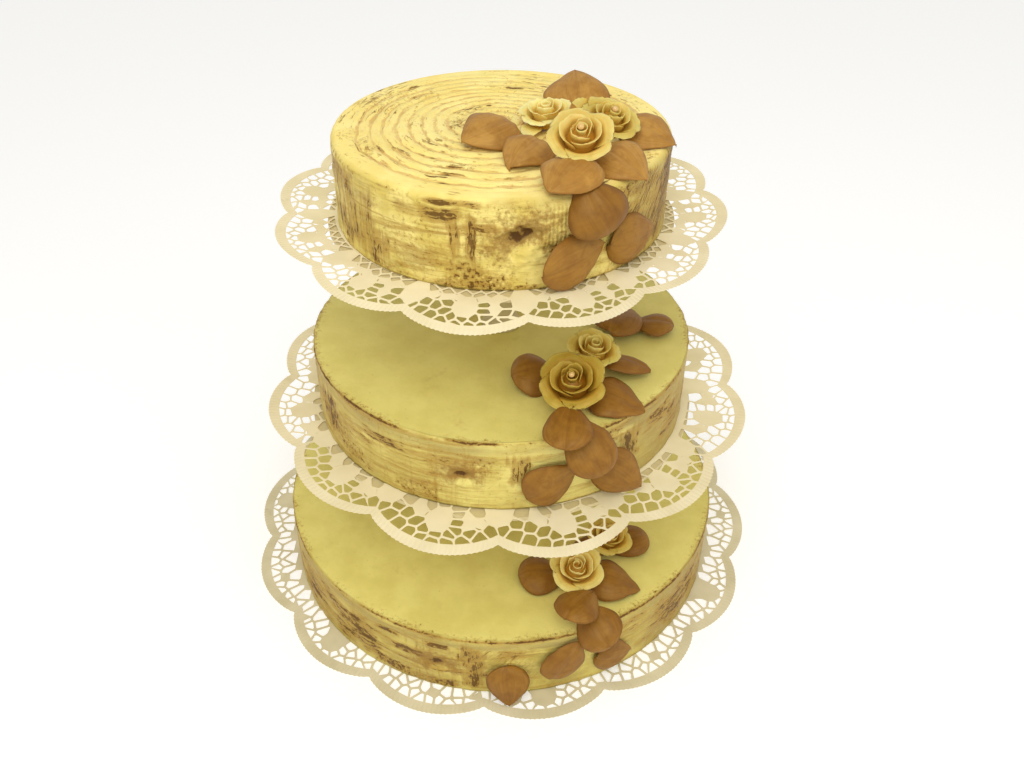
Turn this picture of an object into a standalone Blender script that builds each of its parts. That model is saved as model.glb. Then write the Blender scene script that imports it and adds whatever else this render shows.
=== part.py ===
"""A three-tier wedding cake dressed as sawn birch trunks.

Three round cakes of one height stand above each other, each on a scalloped lace paper. Marzipan
roses and leaves run down the front right of every tier, and a few loose sugar pearls lie beside
the top roses. Slim pillars with thin separator discs, hidden under the papers, carry the two upper
tiers. Metres, +Z up. The origin is the middle of the bottom paper, on the surface that it lies on,
and the front is -Y.
"""

import math
import random

import bmesh
import bpy
from mathutils import Matrix, Vector, noise
from mathutils.bvhtree import BVHTree

MM = 0.001

# Driving dimensions.
TIER_HEIGHT = 0.0625
TIER_PITCH = 0.1654  # from one cake's underside to the next one's
CAKE_RADIUS = {"bottom": 0.1886, "middle": 0.1506, "top": 0.1200}
CAKE_Y = -0.017  # the cakes stand a little in front of the middle of the bottom paper
PAPER = 0.0008
GAP = 0.0003  # between pieces that rest on each other
SAMPLE_SPACING = 0.004  # of the points that are tried where pieces meet
SETTLE_FROM = 0.055  # clear of the tier above, from where a leaf or rose is let down
EDGE = 0.003  # rounding of a cake's rims
EDGE_CUT = 0.3  # share of EDGE between the sharp corner and the rounding's middle, each way
FOOT_INSET = 0.001  # how far a cake's lower edge is drawn in
WELD = 0.00001  # points nearer than this become one
SHARP_ANGLE = 40  # degrees between faces from which an edge is drawn sharp
LEAF_THICKNESS = 0.0016
ROSE_RADIUS = 0.0215
HEART_HEIGHT = 0.02025  # of a rose's rolled heart above its foot
PEARL_RADIUS = 0.0021
PEARL_SUNK = 0.0006  # how deep a loose pearl is pressed into the cream
PEARL_SEGMENTS = 8
PEARL_RINGS = 6
SEPARATOR = 0.003
SEPARATOR_MARGIN = 0.008  # how far a separator disc reaches past its cake
SEPARATOR_SEGMENTS = 40
PILLAR_RADIUS = 0.011
PILLAR_FOOT_RADIUS = 0.016
PILLAR_STEPS = 16
COLLAR = 0.0025
FLARE = 0.008

TIERS = ("bottom", "middle", "top")
BASE = {tier: PAPER + GAP + level * TIER_PITCH for level, tier in enumerate(TIERS)}
TOP = {tier: BASE[tier] + TIER_HEIGHT for tier in TIERS}

# Growth rings combed into the top tier's cream, round a heart that lies off its middle. The crest
# and groove of a ring lie at these shares of the spacing.
RINGS = 8
RING_DEPTH = 0.0018
RING_HEART = Vector((-0.002, 0.015))
RING_CREST = 0.55
RING_GROOVE = 1.05
RING_WAVER = 0.0035  # how far a ring strays from round
RING_WAVER_FINENESS = 30  # changes of the waver in a metre outwards

# Lumps of the cream on a cake's side: depth, and changes in a turn over tau and in a metre upwards.
BARK_DEPTH = 0.0016
BARK_ROUND = 2.1
BARK_UP = 70
KNOT_STRETCH = 1.35  # a knot's width against its height

# Knots in the bark: tier, angle round the cake, height above its underside, radius, depth.
KNOTS = {
    "top": (277.0, 0.031, 0.011, 0.0045),
    "middle": (262.0, 0.031, 0.007, 0.0025),
    "bottom": (257.0, 0.027, 0.008, 0.0022),
}

# Loose sugar pearls on the top cake: millimetres from its middle, and radius.
LOOSE_PEARLS = ((16.0, 4.5, 1.7), (17.6, -0.4, 1.4), (17.0, -4.4, 1.7), (15.0, 0.8, 1.3))

# Lace papers: lobes, radius in a valley and at a lobe's tip, angle of a valley, middle, plain
# rim, and how much the free edge curls up at the sides and down at the front and back.
PAPERS = {
    "bottom": dict(lobes=14, valley=0.2185, tip=0.2315, turn=266.4, middle=(0.0, 0.0),
                   rim=0.012, holes=3, curl=0.0, flat=0.150),
    "middle": dict(lobes=12, valley=0.1860, tip=0.1995, turn=267.8, middle=(0.005, CAKE_Y + 0.004),
                   rim=0.0105, holes=5, curl=0.0050, flat=0.1670),
    "top": dict(lobes=12, valley=0.1557, tip=0.1665, turn=276.6, middle=(-0.001, CAKE_Y + 0.004),
                rim=0.0100, holes=5, curl=0.0055, flat=0.1340),
}
POINTS_A_LOBE = 5
FLAT_SEGMENTS = 24  # of the circle inside which a paper lies flat
HOLE_DEPTH = 0.0062
HOLE_TAPER = 0.82  # a hole's inner width against its outer width
HOLE_BAR = 0.0016
CURL_POWER = 1.5  # the curl starts gently and steepens towards the rim
LOBE_POWER = 0.75  # below 1 the lobes are rounder than half sine waves

# Leaves: the outline is along^BASE * (1 - along)^TIP over its greatest value, WIDEST. Ranges for
# the dome (share of the width), the bend of the tip (share of the length) and the wave of the rim.
LEAF_BASE_POWER = 0.55
LEAF_TIP_POWER = 0.95
LEAF_WIDEST = 0.3732
LEAF_ROWS = (0.0, 0.08, 0.28, 0.54, 0.80, 1.0)
LEAF_COLUMNS = (-1.0, -0.5, 0.0, 0.5, 1.0)
LEAF_DOME = (0.10, 0.20)
LEAF_BEND = (0.03, 0.10)
LEAF_WAVE = (0.0008, 0.0020)
LEAF_WAVES = 5.5  # radians of the wave from base to tip
LEAF_CREASE = 0.0009

# Leaves that lie on a cake. Millimetres from the cake's middle, and degrees: heading of the tip,
# counter-clockwise from +X; pitch, tip down; roll, left side up; then length and width.
LYING_LEAVES = (
    ("top_1", "top", -9, -29, 218, 0, -14, 43, 42),
    ("top_2", "top", 16, -60, 238, 4, -8, 39, 36),
    ("top_3", "top", 55, 40, 90, -31, 0, 42, 49),
    ("top_4", "top", 99, -30, 328, 6, 12, 43, 38),
    ("top_5", "top", 77, -78, 312, 8, 12, 42, 38),
    ("top_6", "top", 41, -102, 234, 5, -4, 42, 42),
    ("middle_2", "middle", 119, -10, 168, 2, 6, 38, 34),
    ("middle_1", "middle", 96, -7, 66, 2, 0, 52, 38),
    ("middle_5", "middle", 83, -108, 336, 4, 8, 43, 40),
    ("middle_4", "middle", 92, -69, 344, -4, -16, 40, 36),
    ("middle_3", "middle", 27, -81, 12, 0, 16, 40, 38),
    ("middle_6", "middle", 46, -143, 80, -14, 0, 44, 35),
    ("bottom_1", "bottom", 35, -125, 8, 2, 4, 43, 38),
    ("bottom_2", "bottom", 91, -135, 348, 4, 6, 42, 38),
    ("bottom_3", "bottom", 104, -90, 200, 2, 0, 40, 36),
    ("bottom_4", "bottom", 76, -96, 150, 6, 0, 34, 30),
    ("bottom_5", "bottom", 60, -168, 52, 4, 0, 40, 35),
)

# Leaves that cling to a side: degrees round the cake, millimetres above its underside, degrees of
# the tip (0 up, 90 counter-clockwise round the cake), lean of the tip off the wall, length, width.
CLINGING_LEAVES = (
    ("top_7", "top", 315.2, 20.5, 95, 6, 47, 35),
    ("top_8", "top", 291.8, 20.5, 80, -8, 51, 36),
    ("top_9", "top", 297.0, 55, -20, -24, 37, 42),
    ("middle_9", "middle", 283.5, 25, 60, 2, 44, 38),
    ("middle_7", "middle", 302.3, 21, 134, 24, 46, 36),
    ("middle_8", "middle", 292.0, 58, -16, -40, 46, 38),
    ("bottom_6", "bottom", 298.0, 22.5, 106, 6, 36, 31),
    ("bottom_8", "bottom", 285.0, 36, 30, 2, 44, 36),
    ("bottom_9", "bottom", 271.5, 19, 176, 26, 36, 34),
    ("bottom_7", "bottom", 292.2, 68, -30, -62, 39, 37),
)

# Roses: tier, millimetres from the cake's middle, degrees of lean and its direction, size
# against ROSE_RADIUS, turn, sides, and whether a pearl sits in the heart.
ROSES = (
    ("top_left", "top", 32, -4, 10, 230, 0.90, 20, 18, False),
    ("top_right", "top", 70, -33, 22, 310, 0.98, 75, 20, True),
    ("top_front", "top", 50, -75, 28, 262, 1.00, 0, 22, True),
    ("middle_back", "middle", 67, -69, 12, 300, 0.94, 50, 18, False),
    ("middle_front", "middle", 51, -105, 24, 256, 1.14, 10, 22, True),
    ("bottom_back", "bottom", 87, -100, 12, 300, 0.88, 40, 18, False),
    ("bottom_front", "bottom", 59, -134, 18, 270, 1.00, 30, 20, False),
)
# Outline of a rose from the heart over the rims of its petals, and then the foot: radius, height
# (above the heart, and for the foot above its underside), petals, depth of the notches, turn.
ROSE_PETALS = (
    (0.0030, 0.0, 3, 0.10, 0.0), (0.0040, -0.0040, 3, 0.10, 0.0),
    (0.0062, 0.0002, 3, 0.12, 1.0), (0.0080, -0.0058, 3, 0.12, 1.0),
    (0.0112, -0.0005, 3, 0.12, 2.1), (0.0128, -0.0085, 4, 0.10, 2.4),
    (0.0190, -0.0028, 5, 0.10, 0.4), (0.0215, -0.0048, 5, 0.12, 0.4),
    (0.0190, -0.0078, 5, 0.08, 0.4),
)
ROSE_FOOT = ((0.0115, 0.0075, 1, 0.0, 0.0), (0.0070, 0.0, 1, 0.0, 0.0), (0.0, 0.0, 1, 0.0, 0.0))
NOTCH_DROP = 0.018  # how far a notch of depth 1 sinks at a rose's rim
NOTCH_POWER = 0.6  # below 1 the notches are narrower than the petals


def clear_scene():
    for old in list(bpy.data.objects):
        bpy.data.objects.remove(old, do_unlink=True)


def material(name, colour, roughness):
    made = bpy.data.materials.new(name)
    made.use_nodes = True
    shader = made.node_tree.nodes["Principled BSDF"]
    shader.inputs["Base Color"].default_value = (*colour, 1.0)
    shader.inputs["Roughness"].default_value = roughness
    shader.inputs["Metallic"].default_value = 0.0
    return made


def add_object(name, mesh, finish):
    """An object of the cake's collection, shaded smooth but for its sharp edges."""
    made = bpy.data.objects.new(name, mesh)
    mesh.materials.clear()
    mesh.materials.append(finish)
    mesh.shade_smooth()
    mesh.set_sharp_from_angle(angle=math.radians(SHARP_ANGLE))
    PIECES.objects.link(made)
    return made


def mesh_of(work, name):
    """Ends a bmesh: faces turned outwards, written to a new mesh."""
    bmesh.ops.recalc_face_normals(work, faces=work.faces)
    mesh = bpy.data.meshes.new(name)
    work.to_mesh(mesh)
    work.free()
    return mesh


def evaluated_mesh(source):
    """A plain mesh of what an object's modifiers or curve make; the object is removed."""
    PIECES.objects.link(source)
    graph = bpy.context.evaluated_depsgraph_get()
    mesh = bpy.data.meshes.new_from_object(source.evaluated_get(graph))
    bpy.data.objects.remove(source, do_unlink=True)
    return mesh


def turned(name, profile, steps):
    """A solid of revolution about Z; the profile (radius, height) runs from the top down."""
    mesh = bpy.data.meshes.new(name)
    points = [(radius, 0.0, height) for radius, height in profile]
    mesh.from_pydata(points, [(i, i + 1) for i in range(len(points) - 1)], [])
    guide = bpy.data.objects.new(name, mesh)
    screw = guide.modifiers.new("Turn", "SCREW")
    screw.steps = screw.render_steps = steps
    screw.use_merge_vertices = True
    screw.merge_threshold = WELD
    work = bmesh.new()
    work.from_mesh(evaluated_mesh(guide))
    bmesh.ops.remove_doubles(work, verts=work.verts, dist=WELD)
    return mesh_of(work, name)


# ---------------------------------------------------------------- cakes


def rounded_rim(radius, height):
    """Profile points round a top edge, from the top face to the side."""
    cut = EDGE * EDGE_CUT
    return [(radius - EDGE, height), (radius - cut, height - cut), (radius, height - EDGE)]


def cake_profile(tier, side_rows):
    radius = CAKE_RADIUS[tier]
    profile = [(0.0, TIER_HEIGHT)]
    if tier == "top":
        spacing = (radius - EDGE) / (RINGS + 0.5)
        for ring in range(RINGS):
            profile.append((spacing * (ring + RING_CREST), TIER_HEIGHT))
            profile.append((spacing * (ring + RING_GROOVE), TIER_HEIGHT - RING_DEPTH))
    profile += rounded_rim(radius, TIER_HEIGHT)
    for row in range(1, side_rows):
        profile.append((radius, (TIER_HEIGHT - EDGE) * (1 - row / side_rows)))
    return profile + [(radius - FOOT_INSET, 0.0), (0.0, 0.0)]


def bark(tier, angle, height):
    """How far the spread cream stands out of, or sinks into, a cake's side."""
    round_it = Vector((math.cos(angle), math.sin(angle), 0.0)) * BARK_ROUND
    round_it.z = height * BARK_UP + len(tier)
    level = noise.noise(round_it) * BARK_DEPTH
    turn, knot_height, knot_radius, depth = KNOTS[tier]
    across = math.remainder(angle - math.radians(turn), math.tau) * CAKE_RADIUS[tier]
    reach = math.hypot(across / KNOT_STRETCH, height - knot_height) / knot_radius
    return level - depth * math.exp(-reach * reach)


def waver(angle, across):
    """How far the growth rings stray outwards at a place of the top face."""
    place_in_noise = Vector((math.cos(angle), math.sin(angle), across * RING_WAVER_FINENESS))
    return noise.noise(place_in_noise) * RING_WAVER


def with_pearls(mesh):
    """The top cake's mesh with the loose pearls fused to its upper face."""
    corners = [point.co for point in mesh.vertices]
    face = BVHTree.FromPolygons(corners, [tuple(polygon.vertices) for polygon in mesh.polygons])
    work = bmesh.new()
    for x, y, radius in LOOSE_PEARLS:
        above = Vector((x * MM, y * MM, TIER_HEIGHT * 2))
        lies_on = face.ray_cast(above, Vector((0.0, 0.0, -1.0)))[0]
        middle = lies_on + Vector((0.0, 0.0, radius * MM - PEARL_SUNK))
        bmesh.ops.create_uvsphere(work, u_segments=PEARL_SEGMENTS, v_segments=PEARL_RINGS,
                                  radius=radius * MM, matrix=Matrix.Translation(middle))
    pearls = bpy.data.objects.new("pearls", mesh_of(work, "pearls"))
    PIECES.objects.link(pearls)
    bare = bpy.data.objects.new("bare_cake", mesh)
    bare.modifiers.new("Split", "TRIANGULATE")
    fuse = bare.modifiers.new("Fuse", "BOOLEAN")
    fuse.operation = "UNION"
    fuse.object = pearls
    fused = evaluated_mesh(bare)
    bpy.data.objects.remove(pearls, do_unlink=True)
    return fused


def cake(tier, steps, side_rows):
    """One cake: lumps and a knot on its side, and wavering rings on the top one's face."""
    radius = CAKE_RADIUS[tier]
    mesh = turned("cake_" + tier, cake_profile(tier, side_rows), steps)
    for point in mesh.vertices:
        across = math.hypot(point.co.x, point.co.y)
        angle = math.atan2(point.co.y, point.co.x)
        inside = 1 - across / radius
        if FOOT_INSET / 2 < point.co.z < TIER_HEIGHT - EDGE / 2 and across > radius - EDGE:
            grown = 1 + bark(tier, angle, point.co.z) / radius
            point.co.x *= grown
            point.co.y *= grown
        elif tier == "top" and point.co.z > TIER_HEIGHT - EDGE:
            out = Vector((math.cos(angle), math.sin(angle)))
            shift = RING_HEART * inside + out * waver(angle, across) * min(1, inside * 5)
            point.co.x += shift.x
            point.co.y += shift.y
    if tier == "top":
        mesh = with_pearls(mesh)
    made = add_object("cake_" + tier, mesh, CREAM)
    made.location = (0.0, CAKE_Y, BASE[tier])
    return made


# ---------------------------------------------------------------- papers


def scallop(angle, valley, tip, lobes, turn):
    """Radius of a lobed edge: round lobes that meet in narrow valleys."""
    along = (angle - turn) * lobes / math.tau % 1.0
    return valley + (tip - valley) * math.sin(math.pi * along) ** LOBE_POWER


def ring_points(count, radius_at, turn):
    """Points round a circle whose radius depends on the angle."""
    points = []
    for i in range(count):
        angle = turn + math.tau * i / count
        points.append((radius_at(angle) * math.cos(angle), radius_at(angle) * math.sin(angle)))
    return points


def lace_hole(angle, half_width, edge_at, rim):
    """Four corners of one hole under the rim, wider towards it, that follow the scallop."""
    corners = []
    inner = HOLE_TAPER
    for side, depth in ((-1, 0.0), (1, 0.0), (inner, HOLE_DEPTH), (-inner, HOLE_DEPTH)):
        corner = angle + side * half_width
        radius = edge_at(corner) - rim - depth
        corners.append((radius * math.cos(corner), radius * math.sin(corner)))
    return corners


def add_outline(curve, points):
    spline = curve.splines.new("POLY")
    spline.points.add(len(points) - 1)
    for place, (x, y) in zip(spline.points, points):
        place.co = (x, y, 0.0, 1.0)
    spline.use_cyclic_u = True


def paper(tier):
    """A scalloped paper with a row of holes under its rim, flat below the cake, curling outside."""
    made_of = PAPERS[tier]
    turn = math.radians(made_of["turn"])
    lobe = math.tau / made_of["lobes"]

    def edge_at(angle):
        return scallop(angle, made_of["valley"], made_of["tip"], made_of["lobes"], turn)

    curve = bpy.data.curves.new("paper_" + tier, "CURVE")
    curve.dimensions = "2D"
    curve.fill_mode = "BOTH"
    curve.extrude = PAPER / 2
    add_outline(curve, ring_points(made_of["lobes"] * POINTS_A_LOBE, edge_at, turn))
    add_outline(curve, ring_points(FLAT_SEGMENTS, lambda angle: made_of["flat"], turn))
    pitch = lobe / made_of["holes"]
    for index in range(made_of["lobes"] * made_of["holes"]):
        middle = turn + pitch * (index + 0.5)
        half_width = pitch / 2 - HOLE_BAR / 2 / made_of["valley"]
        add_outline(curve, lace_hole(middle, half_width, edge_at, made_of["rim"]))

    work = bmesh.new()
    work.from_mesh(evaluated_mesh(bpy.data.objects.new("paper_" + tier, curve)))
    bmesh.ops.remove_doubles(work, verts=work.verts, dist=WELD)
    inner = [face for face in work.faces
             if all(point.co.to_2d().length < made_of["flat"] + WELD for point in face.verts)]
    bmesh.ops.delete(work, geom=inner, context="FACES")
    open_edges = [edge for edge in work.edges if edge.is_boundary]
    bmesh.ops.holes_fill(work, edges=open_edges, sides=0)
    for point in work.verts:
        out = (point.co.to_2d().length - made_of["flat"]) / (made_of["tip"] - made_of["flat"])
        angle = math.atan2(point.co.y, point.co.x)
        point.co.z += made_of["curl"] * max(out, 0.0) ** CURL_POWER * math.cos(2 * angle)
    made = add_object("paper_" + tier, mesh_of(work, "paper_" + tier), PAPER_WHITE)
    made.location = (*made_of["middle"], BASE[tier] - GAP - PAPER / 2)
    return made


# ---------------------------------------------------------------- hidden carriers


def separator(tier):
    """A thin round disc just under a paper."""
    upper_face = BASE[tier] - 2 * GAP - PAPER
    radius = CAKE_RADIUS[tier] + SEPARATOR_MARGIN
    work = bmesh.new()
    bmesh.ops.create_cone(work, cap_ends=True, segments=SEPARATOR_SEGMENTS, radius1=radius,
                          radius2=radius, depth=SEPARATOR)
    made = add_object("separator_" + tier, mesh_of(work, "separator_" + tier), PLASTIC)
    made.location = (0.0, CAKE_Y, upper_face - SEPARATOR / 2)
    return made


def pillar(lower, upper):
    """A slim round pillar with a foot and a collar, from one cake to the disc under the next."""
    foot = TOP[lower] + GAP
    height = BASE[upper] - 3 * GAP - PAPER - SEPARATOR - foot
    profile = [
        (0.0, height), (PILLAR_FOOT_RADIUS, height), (PILLAR_FOOT_RADIUS, height - COLLAR),
        (PILLAR_RADIUS, height - COLLAR - FLARE), (PILLAR_RADIUS, COLLAR + FLARE),
        (PILLAR_FOOT_RADIUS, COLLAR), (PILLAR_FOOT_RADIUS, 0.0), (0.0, 0.0),
    ]
    solid = turned("pillar_" + upper, profile, PILLAR_STEPS)
    made = add_object("pillar_" + upper, solid, PLASTIC)
    made.location = (0.0, CAKE_Y, foot)
    return made


# ---------------------------------------------------------------- resting pieces on each other


def world_solid(made):
    """Points and triangles of an object where it stands, and a search tree of them."""
    bpy.context.view_layer.update()
    graph = bpy.context.evaluated_depsgraph_get()
    mesh = made.evaluated_get(graph).to_mesh()
    mesh.calc_loop_triangles()
    points = [made.matrix_world @ point.co for point in mesh.vertices]
    faces = [tuple(triangle.vertices) for triangle in mesh.loop_triangles]
    made.evaluated_get(graph).to_mesh_clear()
    return points, faces, BVHTree.FromPolygons(points, faces)


def samples(points, faces):
    """The corners, and a grid of points over each triangle."""
    found = list(points)
    for a, b, c in faces:
        along, across = points[b] - points[a], points[c] - points[a]
        longest = max(along.length, across.length, (along - across).length)
        parts = max(2, math.ceil(longest / SAMPLE_SPACING))
        for i in range(parts + 1):
            for j in range(parts + 1 - i):
                found.append(points[a] + along * (i / parts) + across * (j / parts))
    return found


def crosses(points, faces):
    """Whether a piece with these points would run through a piece that has settled."""
    tree = BVHTree.FromPolygons(points, faces)
    return any(tree.overlap(other_tree) for other_samples, other_tree in RESTED)


def settle(made, direction):
    """Moves a piece along a direction until it lies on what it meets first."""
    points, faces, tree = world_solid(made)
    middle = sum(points, Vector()) / len(points)
    reach = max((point - middle).length for point in points)
    own_samples = samples(points, faces)
    free = SETTLE_FROM * 2
    for other_samples, other_tree in RESTED:
        for point in own_samples:
            hit = other_tree.ray_cast(point, direction, free)
            if hit[0]:
                free = min(free, hit[3])
        for point in other_samples:
            if (point - middle).cross(direction).length < reach:
                hit = tree.ray_cast(point, -direction, free)
                if hit[0]:
                    free = min(free, hit[3])
    free -= 2 * GAP
    while crosses([point + direction * free for point in points], faces):
        free -= GAP
    made.location = made.location + direction * free
    rest_on(made)


def rest_on(made):
    """Lets the pieces that settle later lie on this one."""
    points, faces, tree = world_solid(made)
    RESTED.append((samples(points, faces), tree))


# ---------------------------------------------------------------- leaves


def leaf_mesh(name, length, width, seed):
    """An open leaf sheet in triangles: pointed tip at +X, domed, creased, with wavy edges."""
    chance = random.Random(seed)
    dome = chance.uniform(*LEAF_DOME) * width
    bend = chance.uniform(*LEAF_BEND) * length
    wave = chance.uniform(*LEAF_WAVE)
    phase = chance.uniform(0, math.tau)
    work = bmesh.new()
    grid = []
    for along in LEAF_ROWS:
        outline = along ** LEAF_BASE_POWER * (1 - along) ** LEAF_TIP_POWER / LEAF_WIDEST
        half = width / 2 * outline
        line = []
        for across in LEAF_COLUMNS if half else (0.0,):
            crease = LEAF_CREASE if across == 0 and half else 0.0
            height = dome * (1 - across * across) * min(1.0, half / width * 2) - crease
            height -= bend * along * along
            height += wave * across * math.sin(phase + along * LEAF_WAVES)
            line.append(work.verts.new(((along - 0.5) * length, across * half, height)))
        grid.append(line)
    for low, high in zip(grid, grid[1:]):
        if len(low) == 1 or len(high) == 1:
            point, line = (low[0], high) if len(low) == 1 else (high[0], low)
            for left, right in zip(line, line[1:]):
                work.faces.new((point, left, right))
            continue
        for i in range(len(LEAF_COLUMNS) - 1):
            work.faces.new((low[i], low[i + 1], high[i + 1]))
            work.faces.new((low[i], high[i + 1], high[i]))
    bmesh.ops.recalc_face_normals(work, faces=work.faces)
    if work.faces[:][len(work.faces) // 2].normal.z < 0:
        bmesh.ops.reverse_faces(work, faces=work.faces)
    mesh = bpy.data.meshes.new(name)
    work.to_mesh(mesh)
    work.free()
    return mesh


def leaf(name, length, width, seed):
    sheet_mesh = leaf_mesh("leaf_" + name, length * MM, width * MM, seed)
    made = add_object("leaf_" + name, sheet_mesh, LEAF_BROWN)
    sheet = made.modifiers.new("Thickness", "SOLIDIFY")
    sheet.thickness = LEAF_THICKNESS
    sheet.offset = 0.0
    return made


def place(made, turned_by, at):
    made.matrix_world = Matrix.Translation(at) @ turned_by.to_4x4()
    bpy.context.view_layer.update()


def lying_leaf(seed, name, tier, x, y, heading, pitch, roll, length, width):
    made = leaf(name, length, width, seed)
    turned_by = Matrix.Rotation(math.radians(heading), 3, "Z")
    turned_by = turned_by @ Matrix.Rotation(math.radians(pitch), 3, "Y")
    turned_by = turned_by @ Matrix.Rotation(math.radians(roll), 3, "X")
    place(made, turned_by, Vector((x * MM, CAKE_Y + y * MM, TOP[tier] + SETTLE_FROM)))
    settle(made, Vector((0.0, 0.0, -1.0)))


def clinging_leaf(seed, name, tier, turn, height, tip, lean, length, width):
    made = leaf(name, length, width, seed)
    angle = math.radians(turn)
    out = Vector((math.cos(angle), math.sin(angle), 0.0))
    upright = Vector((0.0, 0.0, 1.0))
    around = upright.cross(out)
    along = upright * math.cos(math.radians(tip)) + around * math.sin(math.radians(tip))
    frame = Matrix((along, out.cross(along), out)).transposed()
    turned_by = frame @ Matrix.Rotation(math.radians(-lean), 3, "Y")
    reach = CAKE_RADIUS[tier] + SETTLE_FROM
    place(made, turned_by, Vector((0.0, CAKE_Y, BASE[tier] + height * MM)) + out * reach)
    settle(made, -out)


# ---------------------------------------------------------------- roses


def rose_profile(pearl):
    """(radius, height, petals, petal depth, turn) from the heart out over the rims to the foot."""
    heart = HEART_HEIGHT
    tip = [(0.0, heart, 1, 0.0, 0.0)]
    if pearl:
        tip = [(0.0, heart + PEARL_RADIUS * 1.6, 1, 0.0, 0.0),
               (PEARL_RADIUS, heart + PEARL_RADIUS * 0.6, 1, 0.0, 0.0)]
    rims = [(radius, heart + rise, *petals) for radius, rise, *petals in ROSE_PETALS]
    return tip + rims + list(ROSE_FOOT)


def rose(name, tier, x, y, lean, lean_to, size, turn, sides, pearl):
    """One closed solid: rolled heart, two rounds of petals and an open outer round."""
    work = bmesh.new()
    rings = []
    for radius, height, petals, depth, phase in rose_profile(pearl):
        if radius == 0.0:
            rings.append([work.verts.new((0.0, 0.0, height * size))])
            continue
        ring = []
        for i in range(sides):
            angle = math.tau * i / sides
            notch = 1 - abs(math.sin((angle * petals + phase) / 2)) ** NOTCH_POWER
            spread = radius * (1 - depth * notch) * size
            drop = depth * notch * NOTCH_DROP * (radius / ROSE_RADIUS)
            turned_to = angle + math.radians(turn)
            ring.append(work.verts.new((spread * math.cos(turned_to), spread * math.sin(turned_to),
                                        (height - drop) * size)))
        rings.append(ring)
    for inner, outer in zip(rings, rings[1:]):
        for i in range(sides):
            j = (i + 1) % sides
            if len(inner) == 1:
                work.faces.new((inner[0], outer[i], outer[j]))
            elif len(outer) == 1:
                work.faces.new((inner[i], outer[0], inner[j]))
            else:
                work.faces.new((inner[i], outer[i], outer[j], inner[j]))
    made = add_object("rose_" + name, mesh_of(work, "rose_" + name), MARZIPAN)
    axis = Matrix.Rotation(math.radians(lean_to), 3, "Z")
    turned_by = axis @ Matrix.Rotation(math.radians(lean), 3, "Y") @ axis.inverted()
    place(made, turned_by, Vector((x * MM, CAKE_Y + y * MM, TOP[tier] + SETTLE_FROM)))
    settle(made, Vector((0.0, 0.0, -1.0)))


clear_scene()
PIECES = bpy.data.collections.new("tiered_wedding_cake")
bpy.context.scene.collection.children.link(PIECES)

CREAM = material("butter_cream", (0.80, 0.66, 0.26), 0.55)
PAPER_WHITE = material("lace_paper", (0.88, 0.82, 0.64), 0.80)
PLASTIC = material("pillar_plastic", (0.78, 0.72, 0.50), 0.40)
LEAF_BROWN = material("leaf_marzipan", (0.36, 0.17, 0.06), 0.60)
MARZIPAN = material("rose_marzipan", (0.66, 0.44, 0.17), 0.50)

RESTED = []
for tier, steps, side_rows in (("bottom", 48, 5), ("middle", 42, 5), ("top", 32, 5)):
    rest_on(cake(tier, steps, side_rows))
    paper(tier)
for lower, upper in zip(TIERS, TIERS[1:]):
    separator(upper)
    pillar(lower, upper)
for seed, row in enumerate(CLINGING_LEAVES):
    clinging_leaf(seed, *row)
for seed, row in enumerate(LYING_LEAVES, start=len(CLINGING_LEAVES)):
    lying_leaf(seed, *row)
for row in ROSES:
    rose(*row)
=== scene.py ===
"""Looks of the tiered wedding cake: cream brushed like bark, lace papers, marzipan flowers.

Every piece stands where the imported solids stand. Metres, +Z up, front towards -Y. The tables of
leaves and roses repeat the turns and sizes of the solids, and each fine leaf or rose is set where
its plain solid is.
"""

import math
import random

import bmesh
import bpy
import numpy as np
from mathutils import Matrix, Vector
from mathutils.geometry import delaunay_2d_cdt


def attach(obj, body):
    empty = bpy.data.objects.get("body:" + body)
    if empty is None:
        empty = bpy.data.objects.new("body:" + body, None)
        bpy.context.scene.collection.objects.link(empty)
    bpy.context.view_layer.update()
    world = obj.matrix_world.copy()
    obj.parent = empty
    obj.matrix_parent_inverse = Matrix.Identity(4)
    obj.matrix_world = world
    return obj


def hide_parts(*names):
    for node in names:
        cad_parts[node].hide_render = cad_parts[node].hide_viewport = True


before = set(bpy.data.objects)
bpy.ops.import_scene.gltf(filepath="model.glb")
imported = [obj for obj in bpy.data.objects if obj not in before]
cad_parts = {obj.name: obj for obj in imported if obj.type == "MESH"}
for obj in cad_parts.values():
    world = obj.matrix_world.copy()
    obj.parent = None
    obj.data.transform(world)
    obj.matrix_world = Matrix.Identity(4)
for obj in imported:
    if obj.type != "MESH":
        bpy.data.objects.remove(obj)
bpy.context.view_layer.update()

MM = 0.001

# Dimensions shared with the solids.
TIER_HEIGHT = 0.0625
TIER_PITCH = 0.1654
CAKE_RADIUS = {"bottom": 0.1886, "middle": 0.1506, "top": 0.1200}
CAKE_Y = -0.017
PAPER = 0.0008
GAP = 0.0003
HEART_HEIGHT = 0.02025
PEARL_RADIUS = 0.0021
RING_HEART = (-0.002, 0.015)
LEAF_BASE_POWER = 0.55
LEAF_TIP_POWER = 0.95
LEAF_WIDEST = 0.3732
LEAF_ROWS = (0.08, 0.28, 0.54, 0.80)
LEAF_COLUMNS = (-1.0, -0.5, 0.0, 0.5, 1.0)
TIERS = ("bottom", "middle", "top")
BASE = {tier: PAPER + GAP + level * TIER_PITCH for level, tier in enumerate(TIERS)}
TOP = {tier: BASE[tier] + TIER_HEIGHT for tier in TIERS}

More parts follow.
